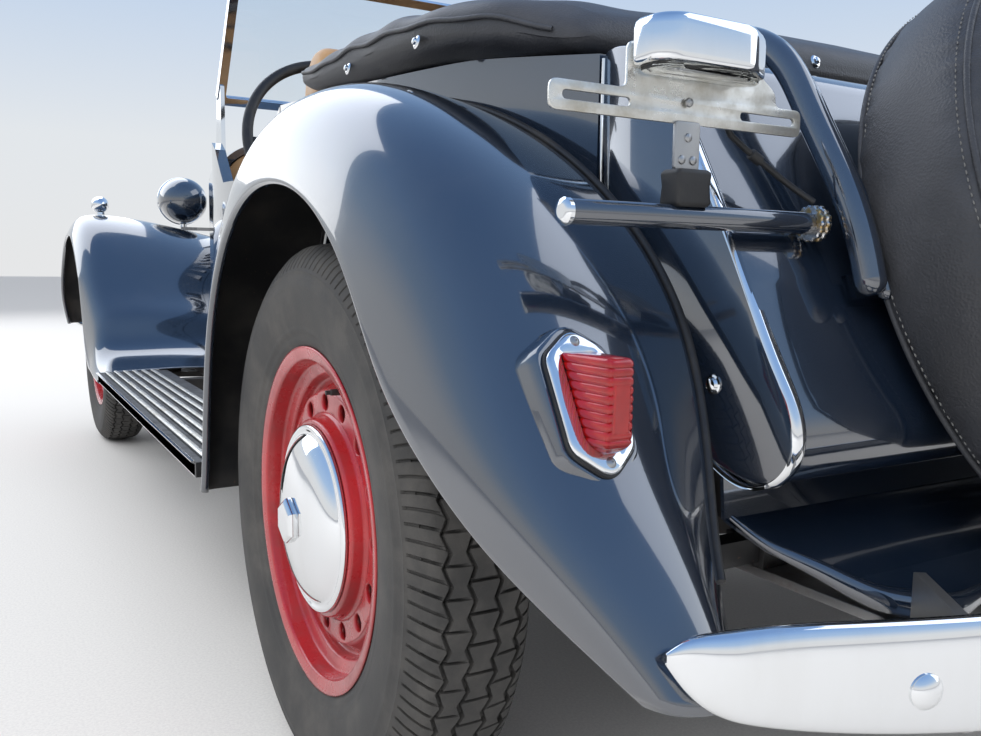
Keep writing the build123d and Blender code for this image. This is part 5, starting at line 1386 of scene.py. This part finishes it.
def hood_grid():
    """Slices of the folded hood's bag: squarish rounds, bowed on top, creased along and across.

    x = half |cos|^0.3, z = middle + depth |sin|^0.55, with waves that fade at the bottom.
    """
    table = np.array(HOOD_ROWS, float)
    y = np.linspace(table[0, 0], table[-1, 0], 150)
    half, crown, drop, bottom = (spline(table[:, 0], table[:, column], y) for column in (1, 2, 3, 4))
    share = (y - y[0]) / (y[-1] - y[0])
    close = np.minimum(np.minimum(share, 1 - share) / 0.035, 1.0)
    close = np.sqrt(1 - (1 - close) ** 2)[:, None]
    turn = np.linspace(0, 2 * pi, 220, endpoint=False)[None]
    tx, tz = squarish(turn, 0.16)[0], squarish(turn, 0.75)[1]
    x = tx * (half - 14 * (1 - close))
    middle, depth = (crown + bottom) / 2, (crown - bottom) / 2
    z = middle + tz * depth * (0.25 + 0.75 * close) - drop * tx ** 2
    spread = y[:, None] + 0 * turn
    waves = 2.6 * np.sin(x * 0.021 + spread * 0.013) * np.sin(spread * 0.017 + 1.0)
    waves = waves + 1.5 * np.sin(x * 0.047 - spread * 0.031 + 2.0)
    folds = 1.8 * np.sin(spread * 0.055 + np.sin(x * 0.015) * 2.0) * (np.abs(tx) > 0.9)
    z = z + (waves + folds) * (tz > -0.2) * close
    return np.stack([x, spread, z], axis=-1)


class ROADSTER_OT_hood(bpy.types.Operator):
    """The bag over the folded hood, with its piping and plated fasteners"""

    bl_idname = "roadster.hood"
    bl_label = "Hood cover"

    def execute(self, context):
        grid = hood_grid()
        bag = Shape().add(grid, loop_columns=True, caps=True)
        made = bag.piece("hood_bag", "vinyl", stands_for=["hood_cover"], sharp=180)
        edge = grid[6:-6, 4] + (2.0, 0, -2.0)
        Shape().run(circle(3.0, 10), edge).mirrored().piece("hood_piping", "vinyl")
        studs = Shape()
        for place, lean in STUDS:
            studs.turn(STUD_LINE, place, lean, 20)
        studs.mirrored().piece("hood_studs", "chrome")
        return {"FINISHED"}


# Front lamps
HEADLAMP = (341.0, -1356.0, 849.0)
BOWL = ((-84, 0), (-83, 15), (-78, 33), (-65, 53), (-45, 69), (-20, 79), (6, 83.5), (38, 84))
RIM = ((38, 83), (40, 86.5), (46, 87.5), (51, 85), (51.5, 79), (48, 76), (44, 78))
DISH = ((45, 76), (30, 71), (10, 58), (-6, 38), (-13, 16), (-14, 0))
BULB = ((-14, 0), (-14, 9), (0, 9), (3, 12), (14, 12), (21, 8), (24, 0))
LENS_REACH = 77.0
LENS_EDGE = 47.0
LENS_BULGE = 15.0
FLUTE_PITCH = 9.0
SIDE_LAMP = (636.0, -1270.0, 818.0)
SIDE_LAMP_FOOT = ((-26, 0), (-26, 12), (-34, 13), (-34, 0))
SIDE_LAMP_GLASS = ((22, 24), (26, 22), (30, 14), (31.5, 0))
TORPEDO = ((-30, 0), (-26, 8), (-12, 21), (6, 27.5), (18, 28.5), (24, 27.5), (26, 24), (24, 22))


class ROADSTER_OT_front_lamps(bpy.types.Operator):
    """Headlamps with dish, bulb and fluted lens, and the side lamps on the fenders"""

    bl_idname = "roadster.front_lamps"
    bl_label = "Front lamps"

    def execute(self, context):
        ahead, rearward = (0, -1, 0), (0, 1, 0)
        bowls = Shape().turn(smooth_line(BOWL, 40), HEADLAMP, ahead, 96, facing=rearward).mirrored()
        bowls.piece("headlamp_bowls", "black_paint", stands_for=["headlamps"], closed=False, wall=1.2)
        rims = Shape().turn(eased(RIM, 1.5, closed=True), HEADLAMP, ahead, 96, loop_rows=True)
        rims.mirrored().piece("headlamp_rims", "chrome")
        dishes = Shape().turn(smooth_line(DISH, 30), HEADLAMP, ahead, 72, facing=ahead).mirrored()
        dishes.piece("headlamp_dishes", "chrome", closed=False, wall=1.0)
        bulbs = Shape().turn(eased(BULB, 3.0), HEADLAMP, ahead, 24).mirrored()
        bulbs.piece("headlamp_bulbs", "clear_glass")
        reach = np.linspace(LENS_REACH, 0.0, 34)
        swell = LENS_EDGE + LENS_BULGE * (1 - (reach / LENS_REACH) ** 2)
        front = turned(np.stack([swell, reach], axis=1), HEADLAMP, ahead, 120)
        flutes = np.abs(np.sin((front[..., 0] - HEADLAMP[0]) * pi / FLUTE_PITCH))
        flutes = 0.7 * flutes * (reach < 70)[:, None]
        back = front.copy()
        back[..., 1] += 3.0
        front[..., 1] -= flutes
        lens = Shape().add(np.concatenate([front[::-1], back]), loop_columns=True)
        lens.mirrored().piece("headlamp_fluted_lenses", "clear_glass",
                              stands_for=["headlamp_lenses"], sharp=180)
        small = Shape().turn(smooth_line(TORPEDO, 40), SIDE_LAMP, ahead, 48, facing=rearward)
        small.mirrored().piece("side_lamp_bowls", "chrome", stands_for=["side_lamps"], closed=False,
                               wall=1.0)
        feet = Shape().turn(SIDE_LAMP_FOOT, SIDE_LAMP, (0, 0, 1), 32).mirrored()
        feet.piece("side_lamp_feet", "chrome")
        pane = Shape().turn(smooth_line(SIDE_LAMP_GLASS, 16), SIDE_LAMP, ahead, 40, facing=ahead)
        pane.mirrored().piece("side_lamp_lenses", "clear_glass", closed=False, wall=1.5)
        return {"FINISHED"}


# Running boards' trim
BOARD_STRIPS = (601.0, 625.0, 649.0, 673.0, 697.0, 721.0)
BOARD_SPAN = (-536.0, 698.0)
BOARD_TOP = 325.0
STRIP_LINE = ((-5.5, -0.4), (-5, 0.8), (-3, 1.5), (3, 1.5), (5, 0.8), (5.5, -0.4))
EDGING_LINE = (
    (-6, 25.6), (0, 25.8), (2.5, 23), (3.4, 17), (3.4, 7), (2.4, 1.5), (0, -0.8), (0, 20), (-6, 24),
)
EDGING_X = 742.0
EDGING_Z = 297.5


class ROADSTER_OT_boards(bpy.types.Operator):
    """Bright strips along the running boards, and the edging at their outer side"""

    bl_idname = "roadster.boards"
    bl_label = "Running board trim"

    def execute(self, context):
        along = np.linspace(*BOARD_SPAN, 30)
        strips = Shape()
        for x in BOARD_STRIPS:
            path = np.column_stack([np.full(30, x), along, np.full(30, BOARD_TOP)])
            strips.run(STRIP_LINE, path)
        strips.mirrored().piece("board_strips", "chrome", look="bare_plate", sharp=60)
        path = np.column_stack([np.full(30, EDGING_X), along, np.full(30, EDGING_Z)])
        edging = Shape().run(EDGING_LINE, path[::-1])
        edging.mirrored().piece("board_edging", "chrome", sharp=60)
        return {"FINISHED"}


# Seats
CUSHION_LAYERS = (
    (0.0, 0.0), (0.0, 0.90), (0.02, 0.97), (0.10, 1.0), (0.40, 1.012), (0.72, 1.0), (0.86, 0.975),
    (0.94, 0.93), (0.985, 0.84), (1.0, 0.70), (1.01, 0.45), (1.015, 0.2), (1.02, 0.0),
)
CUSHION_HALF = (178, 188)
CUSHION_FOOT = 316
CUSHION_HEIGHT = 146
PIPING_HALF = (175, 185)
PLEAT = 44.0
PLEAT_DEPTH = 7
PLEATED_HALF = (140, 165)
BACK_HALF = 512
BACK_ROUND = 26
BACK_PLEAT = 64
SEAT_X = 305.0
SEAT_Y = 315.0
PIPING_Z = 449.0
SWELL_CAP = 6.0
SWELL_PRESSURE = 4.0
SWELL_FRAMES = 12
SEAT_BACK_LINE = (
    (523, 486), (600, 486), (617, 640), (630, 860), (645, 950), (636, 986), (602, 997), (573, 980),
    (552, 880), (538, 740), (528, 620),
)


def cushion_grid(middle_x):
    """Rings of a squarish plan that grow from the base, swell at the sides and close on top.

    Pleats run fore and aft: the top sinks where |cos| of the place across is small.
    """
    layers = spline(np.linspace(0, 1, len(CUSHION_LAYERS)), CUSHION_LAYERS, np.linspace(0, 1, 70))
    layers = np.clip(layers, 0.0, 1.03)
    turn = np.linspace(0, 2 * pi, 160, endpoint=False)
    plan = np.stack(squarish(turn, 0.3), axis=-1) * CUSHION_HALF
    spots = plan[None] * layers[:, 1, None, None]
    height = np.broadcast_to(CUSHION_FOOT + CUSHION_HEIGHT * layers[:, :1], spots.shape[:2])
    pleat = np.abs(np.cos(spots[..., 0] * pi / PLEAT)) ** 0.45 - 1
    inside = (np.abs(spots) < PLEATED_HALF).all(axis=-1)
    crown = 6 * (1 - (spots[..., 1] / 190) ** 2)
    height = height + (layers[:, :1] > 0.9) * (pleat * inside * PLEAT_DEPTH + crown - 5)
    return np.stack([spots[..., 0] + middle_x, spots[..., 1] + SEAT_Y, height], axis=-1)


def padded_by_cloth(made, cap):
    """Swells a piece as cloth under pressure, keeps each point within cap, and leaves it a mesh."""
    mesh = made.data
    rest = np.empty(len(mesh.vertices) * 3)
    mesh.vertices.foreach_get("co", rest)
    rest = rest.reshape(-1, 3)
    cloth = made.modifiers.new("swell", "CLOTH")
    cloth.settings.use_pressure = True
    cloth.settings.uniform_pressure_force = SWELL_PRESSURE
    cloth.settings.effector_weights.gravity = 0.0
    cloth.settings.quality = 4
    scene = bpy.context.scene
    for step in range(SWELL_FRAMES):
        scene.frame_set(step + 1)
    solved = made.evaluated_get(bpy.context.evaluated_depsgraph_get())
    moved = np.empty(len(rest) * 3)
    solved.to_mesh().vertices.foreach_get("co", moved)
    moved = moved.reshape(-1, 3)
    solved.to_mesh_clear()
    made.modifiers.remove(cloth)
    shift = moved - rest
    length = np.linalg.norm(shift, axis=1, keepdims=True)
    shift *= np.minimum(1.0, cap * MM / np.maximum(length, 1e-9))
    mesh.vertices.foreach_set("co", (rest + shift).ravel())
    scene.frame_set(1)


class ROADSTER_OT_seats(bpy.types.Operator):
    """Pleated hide cushions and the one-piece seat back"""

    bl_idname = "roadster.seats"
    bl_label = "Seats"

    def execute(self, context):
        for number, (name, sign) in enumerate(SIDES):
            cushion = Shape().add(cushion_grid(SEAT_X * sign), loop_columns=True)
            made = cushion.piece(
                f"seat_cushion_{name}", "tan_leather",
                stands_for=["seat_cushions"] if number == 0 else (), sharp=180,
            )
            padded_by_cloth(made, SWELL_CAP)
            across, along = squarish(np.linspace(0, 2 * pi, 120, endpoint=False), 0.3)
            ring = np.stack([
                across * PIPING_HALF[0] + SEAT_X * sign, along * PIPING_HALF[1] + SEAT_Y,
                np.full(120, PIPING_Z),
            ], axis=-1)
            piping = Shape().add(
                ring_rope(ring, (0, 0, 1), 4.0), loop_rows=True, loop_columns=True,
            )
            piping.piece(f"seat_piping_{name}", "tan_leather", sharp=180)
        line = smooth_line([*SEAT_BACK_LINE, SEAT_BACK_LINE[0]], 90)[:-1]
        middle = line.mean(axis=0)
        x = np.linspace(-1, 1, 240)
        x = BACK_HALF * np.sign(x) * (1 - (1 - np.abs(x)) ** 1.15)
        past = ((np.abs(x) - (BACK_HALF - BACK_ROUND)) / BACK_ROUND).clip(0, 1)
        close = np.sqrt(np.clip(1 - past ** 2, 0, 1))
        pleats = np.abs(np.cos(x * pi / BACK_PLEAT)) ** 0.45 - 1
        outward = unit(line - middle)
        front = np.clip((580 - line[:, 0]) / 30, 0, 1) * np.clip((960 - line[:, 1]) / 40, 0, 1)
        grow = 6 * pleats[:, None] * front[None] - 20 * (1 - close)[:, None]
        rows = line[None] + outward[None] * grow[..., None]
        spread = np.broadcast_to(x[:, None], rows.shape[:2])
        back = np.concatenate([spread[..., None], rows], axis=-1)
        made = Shape().add(back, loop_columns=True, caps=True).piece(
            "seat_back_hide", "tan_leather", stands_for=["seat_back"], sharp=180,
        )
        return {"FINISHED"}


# Stage: places in metres; a lamp that isn't mirrored lights the car but doesn't show in its gloss
StudioLamp = namedtuple("StudioLamp", "name size watts place aim mirrored")
LAMPS = (
    StudioLamp("key", 6.0, 420.0, (5.0, 4.0, 6.0), (0.5, 0.5, 0.5), False),
    StudioLamp("fill", 7.0, 160.0, (-6.0, 3.0, 4.5), (0.0, 0.5, 0.5), True),
    StudioLamp("front", 7.0, 260.0, (2.0, -6.0, 5.0), (0.0, 0.0, 0.5), True),
)


def look_matrix(place, direction):
    """Placement of an object whose -Z points along direction, with its X level."""
    back = -unit(direction)
    right = unit(np.cross((0.0, 0.0, 1.0), back))
    axes = np.column_stack([right, np.cross(back, right), back, place])
    return Matrix(np.vstack([axes, [0, 0, 0, 1]]).tolist())


class ROADSTER_OT_stage(bpy.types.Operator):
    """Pale floor, soft lamps and the camera at the photograph's place"""

    bl_idname = "roadster.stage"
    bl_label = "Stage"

    CAMERA_PLACE = (1.0337, 2.1302, 0.6377)
    CAMERA_HEADING = radians(29.915)
    CAMERA_DIP = radians(6.618)
    CAMERA_ROLL = radians(0.890)
    FOCAL_PIXELS = 901.8
    PICTURE_PIXELS = 981
    FLOOR_HALF = 30.0
    SKY_STRENGTH = 0.85
    EVEN_LIGHT = (0.72, 0.74, 0.78)
    SKY = (
        (0.0, (0.93, 0.94, 0.95)), (0.12, (0.90, 0.94, 0.98)), (0.34, (0.50, 0.69, 0.97)),
        (0.66, (0.33, 0.54, 0.93)), (1.0, (0.20, 0.37, 0.74)),
    )

    def execute(self, context):
        self.floor()
        self.lamps()
        self.world()
        self.camera()
        return {"FINISHED"}

    def floor(self):
        """A wide matt floor at the tyres' foot."""
        half = self.FLOOR_HALF
        mesh = bpy.data.meshes.new("floor")
        corners = [(-half, -half, 0), (half, -half, 0), (half, half, 0), (-half, half, 0)]
        mesh.from_pydata(corners, [], [(0, 1, 2, 3)])
        floor = bpy.data.objects.new("floor", mesh)
        bpy.context.scene.collection.objects.link(floor)
        finish = Finish("floor")
        speckle = finish.noise(240.0, 3.0, 0.7)
        finish.colour(finish.mix(speckle.rise(0.3, 0.7), (0.74, 0.73, 0.72), (0.84, 0.83, 0.81)))
        finish.rough(0.8)
        mesh.materials.append(finish.material)

    def lamps(self):
        """The square lamps of the table above."""
        for setting in LAMPS:
            data = bpy.data.lights.new(setting.name, "AREA")
            data.size = setting.size
            data.energy = setting.watts
            lamp = bpy.data.objects.new(setting.name, data)
            direction = np.subtract(setting.aim, setting.place)
            lamp.matrix_world = look_matrix(setting.place, direction)
            lamp.visible_glossy = setting.mirrored
            bpy.context.scene.collection.objects.link(lamp)

    def world(self):
        """Studio sky, pale at the horizon and blue overhead, which eye, gloss and glass see.

        Matt surfaces are lit by one even pale grey instead, so the floor stays neutral.
        """
        world = bpy.data.worlds.new("studio")
        world.use_nodes = True
        bpy.context.scene.world = world
        tree = world.node_tree
        background = tree.nodes["Background"]
        background.inputs["Strength"].default_value = self.SKY_STRENGTH
        direction = tree.nodes.new("ShaderNodeTexCoord")
        parts = tree.nodes.new("ShaderNodeSeparateXYZ")
        ramp = tree.nodes.new("ShaderNodeValToRGB")
        tree.links.new(direction.outputs["Generated"], parts.inputs[0])
        tree.links.new(parts.outputs["Z"], ramp.inputs[0])
        rays = tree.nodes.new("ShaderNodeLightPath")
        shown = rays.outputs["Is Camera Ray"]
        for kind in ("Is Glossy Ray", "Is Transmission Ray"):
            total = tree.nodes.new("ShaderNodeMath")
            tree.links.new(shown, total.inputs[0])
            tree.links.new(rays.outputs[kind], total.inputs[1])
            shown = total.outputs[0]
        blend = tree.nodes.new("ShaderNodeMix")
        blend.data_type = "RGBA"
        tree.links.new(shown, blend.inputs[0])
        blend.inputs[6].default_value = (*self.EVEN_LIGHT, 1.0)
        tree.links.new(ramp.outputs[0], blend.inputs[7])
        tree.links.new(blend.outputs[2], background.inputs["Color"])
        for position, colour in self.SKY[1:-1]:
            ramp.color_ramp.elements.new(position)
        for element, (position, colour) in zip(ramp.color_ramp.elements, self.SKY):
            element.position = position
            element.color = (*colour, 1.0)

    def camera(self):
        """The camera, from its solved place, heading, dip and roll."""
        heading, dip, roll = self.CAMERA_HEADING, self.CAMERA_DIP, self.CAMERA_ROLL
        ahead = np.array([-sin(heading) * cos(dip), -cos(heading) * cos(dip), -sin(dip)])
        level = np.array([-cos(heading), sin(heading), 0.0])
        upright = np.cross(level, ahead)
        right = level * cos(roll) + upright * sin(roll)
        up = upright * cos(roll) - level * sin(roll)
        data = bpy.data.cameras.new("camera")
        data.sensor_width = 36.0
        data.sensor_fit = "HORIZONTAL"
        data.lens = self.FOCAL_PIXELS / self.PICTURE_PIXELS * data.sensor_width
        data.clip_start = 0.02
        camera = bpy.data.objects.new("camera", data)
        axes = np.column_stack([right, up, -ahead, self.CAMERA_PLACE])
        camera.matrix_world = Matrix(np.vstack([axes, [0, 0, 0, 1]]).tolist())
        bpy.context.scene.collection.objects.link(camera)
        bpy.context.scene.camera = camera
        bpy.context.scene.view_settings.view_transform = "Standard"


class ROADSTER_PT_panel(bpy.types.Panel):
    """Sidebar panel of the roadster"""

    bl_idname = "ROADSTER_PT_panel"
    bl_label = "Roadster"
    bl_space_type = "VIEW_3D"
    bl_region_type = "UI"
    bl_category = "Roadster"

    def draw(self, context):
        for group in (context.scene.roadster_sizes, context.scene.roadster_colours):
            for name in group.__annotations__:
                self.layout.prop(group, name)
        for operator in OPERATORS:
            self.layout.operator(operator.bl_idname)


OPERATORS = (
    ROADSTER_OT_stage, ROADSTER_OT_lead, ROADSTER_OT_finishes, ROADSTER_OT_fenders,
    ROADSTER_OT_wheels, ROADSTER_OT_tail_lamps, ROADSTER_OT_bumpers, ROADSTER_OT_tank,
    ROADSTER_OT_plate, ROADSTER_OT_spare, ROADSTER_OT_hood, ROADSTER_OT_front_lamps,
    ROADSTER_OT_boards, ROADSTER_OT_seats,
)
GROUPS = (RoadsterSizes, RoadsterColours)


def register():
    """Adds the operators, the panel and the values that it shows."""
    for item in (*GROUPS, *OPERATORS, ROADSTER_PT_panel):
        bpy.utils.register_class(item)
    bpy.types.Scene.roadster_sizes = PointerProperty(type=RoadsterSizes)
    bpy.types.Scene.roadster_colours = PointerProperty(type=RoadsterColours)


def unregister():
    """Takes them away again, in the opposite order."""
    del bpy.types.Scene.roadster_colours
    del bpy.types.Scene.roadster_sizes
    for item in reversed((*GROUPS, *OPERATORS, ROADSTER_PT_panel)):
        bpy.utils.unregister_class(item)


def main():
    """Registers the classes, then builds everything in order."""
    register()
    for operator in OPERATORS:
        group, name = operator.bl_idname.split(".")
        getattr(getattr(bpy.ops, group), name)()


if __name__ == "__main__":
    main()
